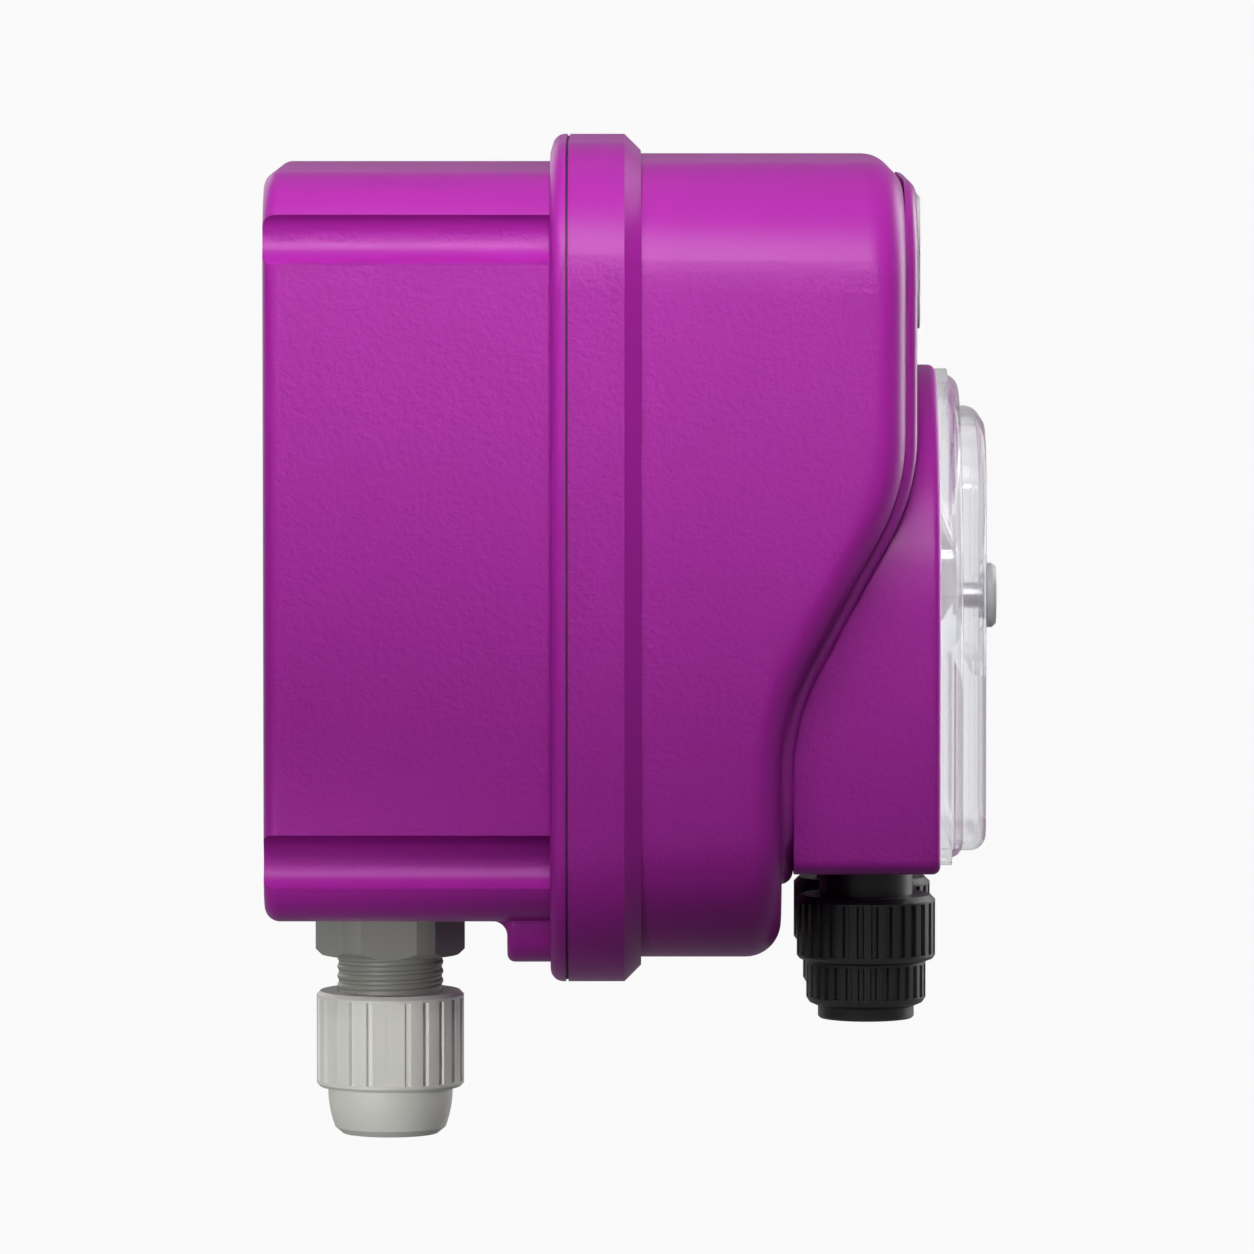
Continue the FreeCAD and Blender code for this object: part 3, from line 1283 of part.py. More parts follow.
def make_drive():
    node("output_gear", make_gear("OutputGear", "output_teeth", "axis_height", math.pi / 2,
                                  "shaft_diameter/2"))
    space = -math.pi / 2 + math.pi / number("pinion_teeth")
    node("motor_pinion", make_gear("MotorPinion", "pinion_teeth", MOTOR_HEIGHT, space, "motor_shaft/2"))
    node("motor_shaft", turned("MotorShaft", "X", ("0", "0", MOTOR_HEIGHT), steps([
        ("box_rear-6", "motor_shaft/2"),
        (f"{GEAR_START}+gear_width+0.8", "motor_shaft/2"),
        (f"{GEAR_START}+gear_width+1.2", "motor_shaft/2-0.4"),
    ])))
    outer = padded("BoxForm", "YZ", "box_rear", f"{BOX_FRONT}-box_rear",
                   frame_points(BOX_HALF, BOX_LOW, BOX_HIGH, "box_corner", "box_corner"))
    rounded_edges(outer, "BoxEdge", "box_edge_round", at_x("box_rear"))
    hollow = padded("BoxHollow", "YZ", "box_rear+box_wall", "40",
                    frame_points(f"{BOX_HALF}-box_wall", f"{BOX_LOW}+box_wall", f"{BOX_HIGH}-box_wall",
                                 "box_corner-box_wall", "box_corner-box_wall"))
    posts = [cylinder(f"BoxPost{i}", "X", ("box_rear+1", y, z), "box_post/2", f"{BOX_FRONT}-box_rear-1")
             for i, (y, z) in enumerate(box_screw_places())]
    seat = cylinder("ShaftSeat", "X", ("box_rear+1", "0", "axis_height"),
                    "shaft_diameter/2+shaft_seat_wall",
                    "box_wall+shaft_seat_wall/2")
    holes = [cylinder(f"BoxScrewHole{i}", "X", ("box_rear+4", y, z), "box_screw/2", "box_depth")
             for i, (y, z) in enumerate(box_screw_places())]
    holes.append(cylinder("ShaftBore", "X", ("box_rear+0.9", "0", "axis_height"),
                          "shaft_diameter/2+running_gap", "20"))
    holes.append(cylinder("MotorWay", "X", ("box_rear-1", "0", MOTOR_HEIGHT), "motor_shaft/2+1", "20"))
    shell = cut("BoxShell", outer, [hollow])
    node("gearbox_case", cut("GearboxCase", fuse("BoxFull", [shell, seat] + posts), holes))
    plate = padded("PlateForm", "YZ", BOX_FRONT, "plate_thickness",
                   frame_points(BOX_HALF, BOX_LOW, BOX_HIGH, "box_corner", "box_corner"))
    ways = [cylinder("PlateShaftWay", "X", (f"{BOX_FRONT}-1", "0", "axis_height"),
                     "shaft_diameter/2+1", "9")]
    ways += [cylinder(f"PlateHeadHole{i}", "X", (f"{BOX_FRONT}-1", y, z), "screw_diameter/2", "9")
             for i, (y, z) in enumerate(head_screw_places())]
    for i, (y, z) in enumerate(box_screw_places()):
        ways.append(cylinder(f"PlateHole{i}", "X", (f"{BOX_FRONT}-1", y, z), "box_screw/2", "9"))
        ways.append(cylinder(f"PlateSink{i}", "X", ("head_rear-box_screw_height-0.2", y, z),
                             "box_screw_head/2+0.1", "9"))
    node("gearbox_plate", cut("GearboxPlate", plate, ways))
    node("gearbox_screws", screws("GearboxScrews", box_screw_places(), "head_rear-box_screw_height-0.2",
                                  "box_rear+6", "box_screw", "box_screw_head", "box_screw_height"))
    motor_rear = "(box_rear-motor_length)"
    can = turned("MotorCan", "X", ("0", "0", MOTOR_HEIGHT), steps([
        (f"{motor_rear}+endcap_length", "motor_diameter/2-motor_edge"),
        (f"{motor_rear}+endcap_length+motor_edge", "motor_diameter/2"),
        ("box_rear-motor_edge", "motor_diameter/2"),
        ("box_rear", "motor_diameter/2-motor_edge"),
    ]))
    seat = cylinder("MotorBore", "X", ("box_rear-7", "0", MOTOR_HEIGHT),
                    "motor_shaft/2+running_gap", "10")
    node("motor", cut("Motor", can, [seat]))
    end = turned("EndForm", "X", ("0", "0", MOTOR_HEIGHT), steps([
        (f"{motor_rear}-endcap_hub_height", "endcap_hub/2-1"),
        (motor_rear, "endcap_hub/2"),
        (motor_rear, "motor_diameter/2-2*motor_edge"),
        (f"{motor_rear}+endcap_length", "motor_diameter/2-motor_edge"),
    ]))
    lugs = [box(f"MotorLug{i}", (f"{motor_rear}-lug_length", f"{side}*lug_side-lug_width/2",
                                 f"{MOTOR_HEIGHT}-lug_thickness/2"),
                ("lug_length+1", "lug_width", "lug_thickness"))
            for i, side in enumerate((-1, 1))]
    node("motor_endcap", fuse("MotorEndcap", [end] + lugs))


def box_screw_places():
    inset = "(box_wall+box_screw_inset)"
    return [
        (f"{side}*({BOX_HALF}-{inset})", height)
        for side in (-1, 1) for height in (f"{BOX_LOW}+{inset}", f"{BOX_HIGH}-{inset}")
    ]


def make_controls():
    board = box("Board", ("board_front-board_thickness", "-board_width/2", "board_bottom"),
                ("board_thickness", "board_width", "board_top-board_bottom"))
    holes = [cylinder(f"BoardHole{i}", "X", ("board_front-5", y, z), "board_screw/2+0.2", "9")
             for i, (y, z) in enumerate(board_places())]
    node("control_board", cut("ControlBoard", board, holes))
    node("board_screws", screws("BoardScrews", board_places(), "board_front-board_thickness",
                                "board_front+board_post_hole-2", "board_screw", "board_screw_head",
                                "board_screw_height"))
    pot = box("PotForm", ("board_front", "dial_side-pot_width/2", "control_height-pot_width/2"),
              ("pot_depth", "pot_width", "pot_width"))
    pot_bore = cylinder("PotBore", "X", ("board_front+pot_depth/2-0.5", "dial_side", "control_height"),
                        "spindle_diameter/2+running_gap", "pot_depth")
    node("potentiometer", cut("Potentiometer", pot, [pot_bore]))
    back = "front_face-wall_thickness-0.5"
    dial = turned("DialForm", "X", ("0", "dial_side", "control_height"), steps([
        ("board_front+pot_depth/2-0.3", "spindle_diameter/2"),
        (back, "spindle_diameter/2"),
        (back, "dial_diameter/2"),
        ("label_face-fit_gap-dial_bevel", "dial_diameter/2"),
        ("label_face-fit_gap", "dial_diameter/2-dial_bevel"),
    ]))
    slot = box("DialSlot", ("label_face-fit_gap-dial_slot_depth", "dial_side-dial_slot/2",
                            "control_height-dial_diameter/2+dial_slot_depth"),
               ("dial_slot_depth+1", "dial_slot", "dial_diameter-2*dial_slot_depth"))
    node("adjust_dial", cut("AdjustDial", dial, [slot]))
    light = turned("StatusLight", "X", ("0", "light_side", "control_height"), steps([
        ("board_front", "light_diameter/2+light_rim"),
        ("board_front+light_base", "light_diameter/2+light_rim"),
        ("board_front+light_base", "light_diameter/2"),
        ("label_face-light_dome", "light_diameter/2"),
        ("label_face", "light_diameter/2-2*light_dome"),
    ]))
    node("status_light", light)


def make_terminals():
    """Row of screw terminals on the rear wall, above the cable gland."""
    low = "(rear_bottom+block_rise)"
    block = box("BlockForm", ("wall_thickness", "-block_width/2", low),
                ("block_depth", "block_width", "block_height"))
    wells = []
    for i in range(5):
        across = f"({i - 2}*block_pitch)"
        wells.append(cylinder(f"BlockScrew{i}", "X", ("wall_thickness+block_depth*0.6", across,
                                                      f"{low}+block_height*0.7"),
                              "block_screw/2", "block_depth"))
        wells.append(box(f"BlockEntry{i}", ("wall_thickness+block_entry",
                                            f"{across}-block_entry/2", f"{low}-1"),
                         ("block_entry", "block_entry", "block_height/2")))
    node("terminal_block", cut("TerminalBlock", block, wells))


def finish():
    """Every feature and every piece has to be sound before the files are written."""
    doc.recompute()
    failed = [thing.Name for thing in doc.Objects if {"Invalid", "Error"} & set(thing.State)]
    if failed:
        raise RuntimeError(f"failed features: {failed}")
    for label, thing in NODES.items():
        if thing.Shape.isNull() or not thing.Shape.isValid() or not thing.Shape.Solids:
            raise RuntimeError(f"bad shape: {label}")
    os.makedirs("parts", exist_ok=True)
    for label, thing in NODES.items():
        thing.Shape.exportStep(os.path.join("parts", f"{label}.step"))
        print(label, len(thing.Shape.Solids), round(thing.Shape.Volume, 1))


make_rear_casing()
make_gasket()
make_front_casing()
make_front_panel()
make_label()
make_pump_head()
make_cover()
make_rotor()
make_rollers()
make_shaft()
make_head_screws()
make_tube()
make_hose_side("suction", -1)
make_hose_side("discharge", 1)
make_gland()
make_drive()
make_controls()
make_terminals()
finish()
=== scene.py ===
import math

import bmesh
import bpy
from mathutils import Matrix, Vector


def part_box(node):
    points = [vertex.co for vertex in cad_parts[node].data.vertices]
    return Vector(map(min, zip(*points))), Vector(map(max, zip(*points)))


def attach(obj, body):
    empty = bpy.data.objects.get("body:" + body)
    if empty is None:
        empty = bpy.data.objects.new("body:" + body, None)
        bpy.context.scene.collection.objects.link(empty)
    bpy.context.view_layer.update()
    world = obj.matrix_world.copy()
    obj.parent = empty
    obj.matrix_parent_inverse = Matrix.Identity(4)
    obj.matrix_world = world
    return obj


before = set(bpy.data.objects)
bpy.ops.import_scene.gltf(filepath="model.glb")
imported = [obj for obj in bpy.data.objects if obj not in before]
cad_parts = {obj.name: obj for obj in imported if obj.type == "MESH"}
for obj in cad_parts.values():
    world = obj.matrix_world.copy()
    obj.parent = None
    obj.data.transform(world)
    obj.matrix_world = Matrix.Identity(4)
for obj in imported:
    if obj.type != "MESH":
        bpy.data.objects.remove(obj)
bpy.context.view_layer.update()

MM = 0.001

# Camera, as the photograph was taken: from the -Y side, which is the pump's own right,
# slightly above it and from far away. X is seen to the right.
IMAGE_SIDE = 1254
PIXEL_AT_MIDPLANE = 0.1585 * MM
CAMERA_DISTANCE = 1.65
CAMERA_ELEVATION = math.radians(4.0)
CAMERA_REACH = 200.0
VIEW_CENTRE = Vector((56.2, 0.0, -15.0)) * MM
SENSOR_WIDTH = 36.0

# Surroundings: a white room as the camera sees it, which hardly lights the pump
PLAIN_WHITE = (1.0, 1.0, 1.0, 1.0)
WORLD_LIGHT_BELOW = 0.01
WORLD_LIGHT_ABOVE = 0.12
FLOOR_BELOW = 0.22
FLOOR_HALF = 60.0
FLOOR_GREY = (0.12, 0.12, 0.13, 1.0)
# Share of the floor that is seen as white, so that the rest keeps the pump's shadow
FLOOR_WHITE_SHARE = 0.95
# Share of the white surroundings that reflections see, so that the plastic stays purple
GLOSS_SHARE = 0.3

# Lamps: name, place, aim, width and height in metres, power in watts, spread in degrees
PUMP_MIDDLE = (0.055, 0.0, 0.0)
LAMPS = (
    ("side", (0.01, -0.24, 0.22), PUMP_MIDDLE, (0.24, 0.10), 0.53, 180.0),
    ("strip", (0.05, -0.5, 0.21), (0.06, -0.04, 0.045), (0.40, 0.04), 0.086, 26.0),
    ("top", (0.05, 0.0, 0.9), PUMP_MIDDLE, (0.8, 0.14), 0.35, 180.0),
    ("low", (-0.22, -0.48, -0.03), (0.020, 0.0, -0.084), (0.06, 0.02), 0.0085, 12.0),
    ("face", (0.8, 0.55, 0.2), PUMP_MIDDLE, (0.5, 0.6), 5.2, 180.0),
    ("back", (-0.55, 0.75, 0.3), PUMP_MIDDLE, (0.8, 0.8), 3.4, 180.0),
)

# Clear cover: share of its light that passes without bending, and what colour that takes
COVER_CLEAR_SHARE = 0.4
COVER_PASS = (0.9, 0.9, 0.91, 1.0)

# Thread of the cable gland, measured from the top of the gland's nut
THREAD_CORE = 8.2 * MM
THREAD_RISE = 0.24 * MM
THREAD_FOOT = 0.05 * MM
THREAD_PITCH = 1.5 * MM
THREAD_BELOW = 0.7 * MM
THREAD_ABOVE = 6.6 * MM

# Lip of the casing gasket, which stands proud of the gasket and clear of both flanges
LIP_CORNER = 20.8 * MM
LIP_PROUD = 0.9 * MM
LIP_DEPTH = 1.2 * MM
LIP_GAP = 0.02 * MM

# Side grooves of the rear casing: centres and radius, and the plug at their flange end
GROOVE_ACROSS = 45.6 * MM
GROOVE_UPPER = 48.2 * MM
GROOVE_LOWER = -48.3 * MM
GROOVE_RADIUS = 4.5 * MM
PLUG_INNER_SIDE = 42.6 * MM
PLUG_START = 44.33 * MM
PLUG_THICKNESS = 1.2 * MM
PLUG_STEPS = 12

# Scale printed round the dial
SCALE_START = math.radians(225)
SCALE_SWEEP = math.radians(270)
SCALE_STEPS = 10
NUMBER_EVERY = 2
TICK_INNER = 6.9 * MM
TICK_OUTER = 7.9 * MM
TICK_HALF_WIDTH = 0.14 * MM
PRINT_THICKNESS = 0.04 * MM
NUMBER_RADIUS = 9.1 * MM
NUMBER_SIZE = 2.1 * MM
NUMBER_HALF_DEPTH = 0.03 * MM


def linear(red, green, blue):
    """Linear colour from display values of 0 to 255."""
    def channel(value):
        share = value / 255
        return share / 12.92 if share <= 0.04045 else ((share + 0.055) / 1.055) ** 2.4
    return (channel(red), channel(green), channel(blue), 1.0)


MAGENTA = linear(166, 34, 158)
MAGENTA_SMOOTH = linear(160, 30, 152)
LABEL_GREY = linear(196, 190, 194)
NUT_BLACK = linear(32, 32, 34)
GLAND_GREY = linear(226, 226, 219)
GLAND_DARK = linear(142, 143, 136)
WHITE = linear(226, 228, 230)
LIGHT_GREY = linear(196, 200, 203)
RUBBER = linear(40, 30, 42)
GASKET = linear(74, 22, 72)
TUBE = linear(214, 204, 186)
STEEL = linear(190, 190, 192)
ZINC = linear(150, 152, 154)
BRASS = linear(196, 160, 92)
NYLON = linear(226, 222, 208)
BOARD = linear(24, 92, 52)
PRINT = linear(52, 48, 54)
GREEN_LENS = linear(70, 190, 90)
COVER_TINT = linear(250, 250, 252)


def feed(tree, value, socket):
    """Give a socket a number or colour, or link another node's output to it."""
    if isinstance(value, (int, float, tuple)):
        socket.default_value = value
    else:
        tree.links.new(value, socket)


def math_node(tree, operation, *values, clamp=False):
    node = tree.nodes.new("ShaderNodeMath")
    node.operation = operation
    node.use_clamp = clamp
    for value, socket in zip(values, node.inputs):
        feed(tree, value, socket)
    return node.outputs[0]


def mix_surfaces(tree, factor, first, second, target):
    """Mix two surfaces and link the result to the target socket."""
    mixer = tree.nodes.new("ShaderNodeMixShader")
    for value, socket in zip((factor, first, second), mixer.inputs):
        tree.links.new(value, socket)
    tree.links.new(mixer.outputs[0], target)


def scaled(colour, factor):
    """A colour made darker or lighter, with no channel above 1."""
    return tuple(min(channel * factor, 1.0) for channel in colour[:3]) + (1.0,)


class Shader:
    """A node material that takes its pattern from object coordinates, in metres."""

    def __init__(self, name):
        self.material = bpy.data.materials.new(name)
        self.material.use_nodes = True
        self.tree = self.material.node_tree
        self.surface = self.tree.nodes["Principled BSDF"]
        self.output = self.tree.nodes["Material Output"]
        self.place = self.add("ShaderNodeTexCoord").outputs["Object"]

    def add(self, kind, **settings):
        node = self.tree.nodes.new(kind)
        for key, value in settings.items():
            setattr(node, key, value)
        return node

    def link(self, source, target):
        self.tree.links.new(source, target)

    def noise(self, scale, detail=2.0, roughness=0.5):
        node = self.add("ShaderNodeTexNoise")
        self.link(self.place, node.inputs["Vector"])
        node.inputs["Scale"].default_value = scale
        node.inputs["Detail"].default_value = detail
        node.inputs["Roughness"].default_value = roughness
        return node.outputs["Fac"]

    def math(self, operation, *values, clamp=False):
        return math_node(self.tree, operation, *values, clamp=clamp)

    def spread(self, factor, low, high):
        """A factor of 0 to 1, mapped to a range from low to high."""
        node = self.add("ShaderNodeMapRange")
        self.link(factor, node.inputs["Value"])
        node.inputs["To Min"].default_value = low
        node.inputs["To Max"].default_value = high
        return node.outputs["Result"]

    def blend(self, factor, first, second):
        """Mix of two colours, each a tuple or another node's output."""
        node = self.add("ShaderNodeMix", data_type="RGBA")
        self.link(factor, node.inputs["Factor"])
        for name, value in (("A", first), ("B", second)):
            socket = next(s for s in node.inputs if s.name == name and s.type == "RGBA")
            feed(self.tree, value, socket)
        return next(s for s in node.outputs if s.type == "RGBA")

    def bump(self, height, distance, strength):
        node = self.add("ShaderNodeBump")
        self.link(height, node.inputs["Height"])
        node.inputs["Distance"].default_value = distance
        feed(self.tree, strength, node.inputs["Strength"])
        self.link(node.outputs["Normal"], self.surface.inputs["Normal"])

    def side_mask(self, from_slope=0.955, steepness=30.0):
        """1 on the flat sides, which face along Y, and 0 on the rounded edges."""
        parts = self.add("ShaderNodeSeparateXYZ")
        self.link(self.add("ShaderNodeNewGeometry").outputs["True Normal"], parts.inputs[0])
        across = self.math("ABSOLUTE", parts.outputs["Y"])
        above = self.math("SUBTRACT", across, from_slope)
        return self.math("MULTIPLY", above, steepness, clamp=True)

    def colour(self, base, swing, scale=60.0, detail=4.0):
        """Base colour that slowly gets darker and lighter, by the swing each way."""
        clouds = self.noise(scale, detail)
        tone = self.blend(clouds, scaled(base, 1 - swing), scaled(base, 1 + swing))
        self.link(tone, self.surface.inputs["Base Color"])

    def roughness(self, low, high, scale=220.0, detail=3.0):
        rough = self.spread(self.noise(scale, detail), low, high)
        self.link(rough, self.surface.inputs["Roughness"])

    def set(self, **values):
        for name, value in values.items():
            self.surface.inputs[name.replace("_", " ")].default_value = value


def grained_plastic(name, base):
    """Moulded casing: leather grain on the flat sides, smoother glossy edges."""
    darker, lighter = 0.93, 1.06
    side_roughening = 0.14
    grain_depth, side_grain, edge_grain = 0.16 * MM, 0.9, 0.06

    shader = Shader(name)
    mask = shader.side_mask()
    fine = shader.noise(1700.0, 3.0, 0.6)
    coarse = shader.noise(900.0, 2.0)
    clouds = shader.spread(shader.noise(40.0, 3.0), 0.0, 1.0)

    speckle = shader.blend(shader.math("MULTIPLY", fine, mask),
                           scaled(base, lighter), scaled(base, darker))
    shader.link(shader.blend(clouds, speckle, base), shader.surface.inputs["Base Color"])

    rough = shader.math("ADD", shader.math("MULTIPLY", mask, side_roughening),
                        shader.spread(coarse, 0.36, 0.44))
    shader.link(rough, shader.surface.inputs["Roughness"])

    grain = shader.math("ADD", shader.math("MULTIPLY", fine, 0.6),
                        shader.math("MULTIPLY", coarse, 0.8))
    strength = shader.math("ADD", shader.math("MULTIPLY", mask, side_grain), edge_grain)
    shader.bump(grain, grain_depth, strength)
    shader.set(Specular_IOR_Level=0.28)
    return shader.material


def smooth_plastic(name, base, rough=(0.34, 0.44), grain=0.02, swing=0.05):
    """Plain moulded plastic or rubber, with a faint grain given in millimetres."""
    shader = Shader(name)
    shader.colour(base, swing)
    shader.roughness(*rough)
    shader.bump(shader.noise(1400.0, 2.0), grain * MM, 0.6)
    return shader.material


def metal(name, base, rough=(0.22, 0.38), stretch=(1.0, 40.0, 40.0)):
    """Turned or drawn metal, with fine lines along the axis that is stretched least."""
    shader = Shader(name)
    shader.colour(base, 0.06, 300.0)
    mapping = shader.add("ShaderNodeMapping")
    mapping.inputs["Scale"].default_value = stretch
    shader.link(shader.place, mapping.inputs["Vector"])
    lines = shader.add("ShaderNodeTexNoise")
    lines.inputs["Scale"].default_value = 400.0
    shader.link(mapping.outputs["Vector"], lines.inputs["Vector"])
    shader.link(shader.spread(lines.outputs["Fac"], *rough), shader.surface.inputs["Roughness"])
    shader.bump(lines.outputs["Fac"], 0.01 * MM, 0.3)
    shader.set(Metallic=1.0)
    return shader.material


def clear_plastic(name, tint):
    """Clear moulded cover that lets light through to what lies behind it."""
    shader = Shader(name)
    shader.colour(tint, 0.02)
    shader.roughness(0.03, 0.07)
    shader.bump(shader.noise(60.0, 2.0), 0.05 * MM, 0.25)
    shader.set(Transmission_Weight=1.0, IOR=1.15, Coat_Weight=0.3)
    through = shader.add("ShaderNodeBsdfTransparent")
    through.inputs["Color"].default_value = COVER_PASS
    shadow = shader.add("ShaderNodeLightPath").outputs["Is Shadow Ray"]
    mix_surfaces(shader.tree, shader.math("MAXIMUM", shadow, COVER_CLEAR_SHARE),
                 shader.surface.outputs[0], through.outputs[0],
                 shader.output.inputs["Surface"])
    return shader.material


def lens(name, tint):
    """Coloured lens of the status light."""
    shader = Shader(name)
    shader.colour(tint, 0.05, 900.0)
    shader.roughness(0.08, 0.16)
    shader.set(Transmission_Weight=0.4, Coat_Weight=0.6)
    return shader.material


# For a smooth plastic: name, colour, range of roughness, grain in millimetres, colour swing
MATERIALS = {
    "casing": grained_plastic("casing_magenta", MAGENTA),
    "panel": smooth_plastic("panel_magenta", MAGENTA_SMOOTH, (0.30, 0.40), 0.03),
    "label": smooth_plastic("label_grey", LABEL_GREY, (0.30, 0.38), 0.01, 0.02),
    "cover": clear_plastic("cover_clear", COVER_TINT),
    "black": smooth_plastic("nut_black", NUT_BLACK, (0.36, 0.50), 0.03, 0.12),
    "gland": smooth_plastic("gland_grey", GLAND_GREY, (0.42, 0.55), 0.03, 0.04),
    "gland_dark": smooth_plastic("gland_body_grey", GLAND_DARK, (0.42, 0.55), 0.03, 0.04),
    "white": smooth_plastic("rotor_white", WHITE, (0.34, 0.46), 0.02, 0.03),
    "light_grey": smooth_plastic("boss_grey", LIGHT_GREY, (0.30, 0.42), 0.02, 0.03),
    "rubber": smooth_plastic("seal_rubber", RUBBER, (0.62, 0.78), 0.04, 0.10),
    "gasket": smooth_plastic("gasket_rubber", GASKET, (0.6, 0.74), 0.04, 0.08),
    "tube": smooth_plastic("tube_rubber", TUBE, (0.45, 0.58), 0.03, 0.05),
    "steel": metal("bright_steel", STEEL),
    "zinc": metal("motor_zinc", ZINC, (0.34, 0.5), (40.0, 1.0, 1.0)),
    "brass": metal("gear_brass", BRASS),
    "nylon": smooth_plastic("natural_nylon", NYLON, (0.36, 0.5), 0.02, 0.03),
    "board": smooth_plastic("board_green", BOARD, (0.2, 0.32), 0.01, 0.15),
    "print": smooth_plastic("print_dark", PRINT, (0.4, 0.5), 0.01, 0.05),
    "lens": lens("lens_green", GREEN_LENS),
}

FINISHES = {
    "casing": ("rear_casing", "front_casing", "pump_head"),
    "panel": ("front_panel",),
    "label": ("panel_label",),
    "cover": ("head_cover",),
    "black": ("suction_connector", "discharge_connector", "suction_nut", "discharge_nut",
              "terminal_block", "motor_endcap", "rotor", "potentiometer"),
    "gland": ("gland_nut", "gland_locknut"),
    "gland_dark": ("gland_body",),
    "white": ("rotor_cap",),
    "light_grey": ("cover_bush", "adjust_dial"),
    "rubber": ("gland_washer", "gland_seal"),
    "gasket": ("casing_gasket",),
    "tube": ("pump_tube",),
    "steel": ("drive_shaft", "roller_pins", "head_screws", "casing_screws", "gearbox_screws",
              "board_screws", "motor_shaft"),
    "zinc": ("motor",),
    "brass": ("motor_pinion",),
    "nylon": ("output_gear", "roller_1", "roller_2", "roller_3", "shaft_bearing",
              "suction_ferrule", "discharge_ferrule", "gearbox_case", "gearbox_plate"),
    "board": ("control_board",),
    "lens": ("status_light",),
}


def paint(thing, key):
    if not thing.material_slots:
        thing.data.materials.append(MATERIALS[key])
    for material_slot in thing.material_slots:
        material_slot.material = MATERIALS[key]


def paint_cad_nodes():
    for key, nodes in FINISHES.items():
        for node in nodes:
            paint(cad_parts[node], key)


def add_object(name, data):
    thing = bpy.data.objects.new(name, data)
    bpy.context.scene.collection.objects.link(thing)
    return thing


def new_piece(name, mesh, key, body, smooth=True):
    """A finished mesh that rides on a body and takes its colour from a slot."""
    thing = add_object(name, mesh)
    mesh.materials.append(MATERIALS[key])
    for face in mesh.polygons:
        face.use_smooth = smooth
    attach(thing, body)


def finish_mesh(sheet, name):
    """Mesh of a closed bmesh, with its faces turned outward."""
    bmesh.ops.recalc_face_normals(sheet, faces=sheet.faces)
    mesh = bpy.data.meshes.new(name)
    sheet.to_mesh(mesh)
    sheet.free()
    return mesh


def join_loops(sheet, one, other):
    """Band of faces between two closed loops of as many corners."""
    count = len(one)
    for k in range(count):
        follower = (k + 1) % count
        sheet.faces.new((one[k], one[follower], other[follower], other[k]))


def slab_mesh(name, outline, back_x, front_x):
    """Flat slab between two places along X, from the (y, z) corners of its outline."""
    sheet = bmesh.new()
    back = [sheet.verts.new((back_x, y, z)) for y, z in outline]
    front = [sheet.verts.new((front_x, y, z)) for y, z in outline]
    join_loops(sheet, back, front)
    sheet.faces.new(front)
    sheet.faces.new(list(reversed(back)))
    return finish_mesh(sheet, name)


def ridge_mesh(name, axis, low, high, core, crest, pitch, sides=72, ring_size=7):
    """Rounded thread ridge that climbs round an upright cylinder, with tapered ends."""
    taper_steps = sides / 6
    width = pitch * 0.8
    count = int(sides * (high - low - pitch) / pitch)
    sheet = bmesh.new()
    rings = []
    for i in range(count + 1):
        turn = 2 * math.pi * i / sides
        height = low + pitch / 2 + pitch * i / sides
        swell = (crest - core) * min(min(i, count - i) / taper_steps, 1.0)
        ring = []
        for k in range(ring_size):
            share = k / (ring_size - 1)
            radius = core - THREAD_FOOT + (swell + THREAD_FOOT) * math.sin(math.pi * share)
            ring.append(sheet.verts.new((axis[0] + radius * math.cos(turn),
                                         axis[1] + radius * math.sin(turn),
                                         height + (share - 0.5) * width)))
        rings.append(ring)
    for before, after in zip(rings, rings[1:]):
        for k in range(ring_size):
            follower = (k + 1) % ring_size
            sheet.faces.new((before[k], after[k], after[follower], before[follower]))
    sheet.faces.new(rings[0])
    sheet.faces.new(list(reversed(rings[-1])))
    return finish_mesh(sheet, name)


def node_middle(node):
    low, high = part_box(node)
    return [(a + b) / 2 for a, b in zip(low, high)]


def add_gland_thread():
    """Thread that shows between the gland's nut and its hex."""
    nut_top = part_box("gland_nut")[1][2]
    mesh = ridge_mesh("gland_thread", node_middle("gland_body")[:2],
                      nut_top - THREAD_BELOW, nut_top + THREAD_ABOVE,
                      THREAD_CORE, THREAD_CORE + THREAD_RISE, THREAD_PITCH)
    new_piece("gland_thread", mesh, "gland_dark", "housing")


def rounded_outline(low, high, radius, steps=10):
    """Corner points, as (y, z), of a rectangle with rounded corners."""
    corners = ((high[0] - radius, high[1] - radius, 0), (low[0] + radius, high[1] - radius, 90),
               (low[0] + radius, low[1] + radius, 180), (high[0] - radius, low[1] + radius, 270))
    points = []
    for y, z, start in corners:
        for i in range(steps + 1):
            turn = math.radians(start + 90 * i / steps)
            points.append((y + radius * math.cos(turn), z + radius * math.sin(turn)))
    return points


def add_gasket_lip():
    """Outer lip of the gasket, which fills the seam between the two flanges."""
    low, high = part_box("casing_gasket")
    outer, inner = (
        rounded_outline((low[1] - out, low[2] - out), (high[1] + out, high[2] + out),
                        LIP_CORNER + out)
        for out in (LIP_PROUD, LIP_PROUD - LIP_DEPTH))
    back, front = low[0] + LIP_GAP, high[0] - LIP_GAP
    sheet = bmesh.new()
    loops = [[sheet.verts.new((x, y, z)) for y, z in outline]
             for outline, x in ((outer, back), (outer, front), (inner, front), (inner, back))]
    for one, other in zip(loops, loops[1:] + loops[:1]):
        join_loops(sheet, one, other)
    new_piece("gasket_lip", finish_mesh(sheet, "gasket_lip"), "gasket", "housing",
              smooth=False)


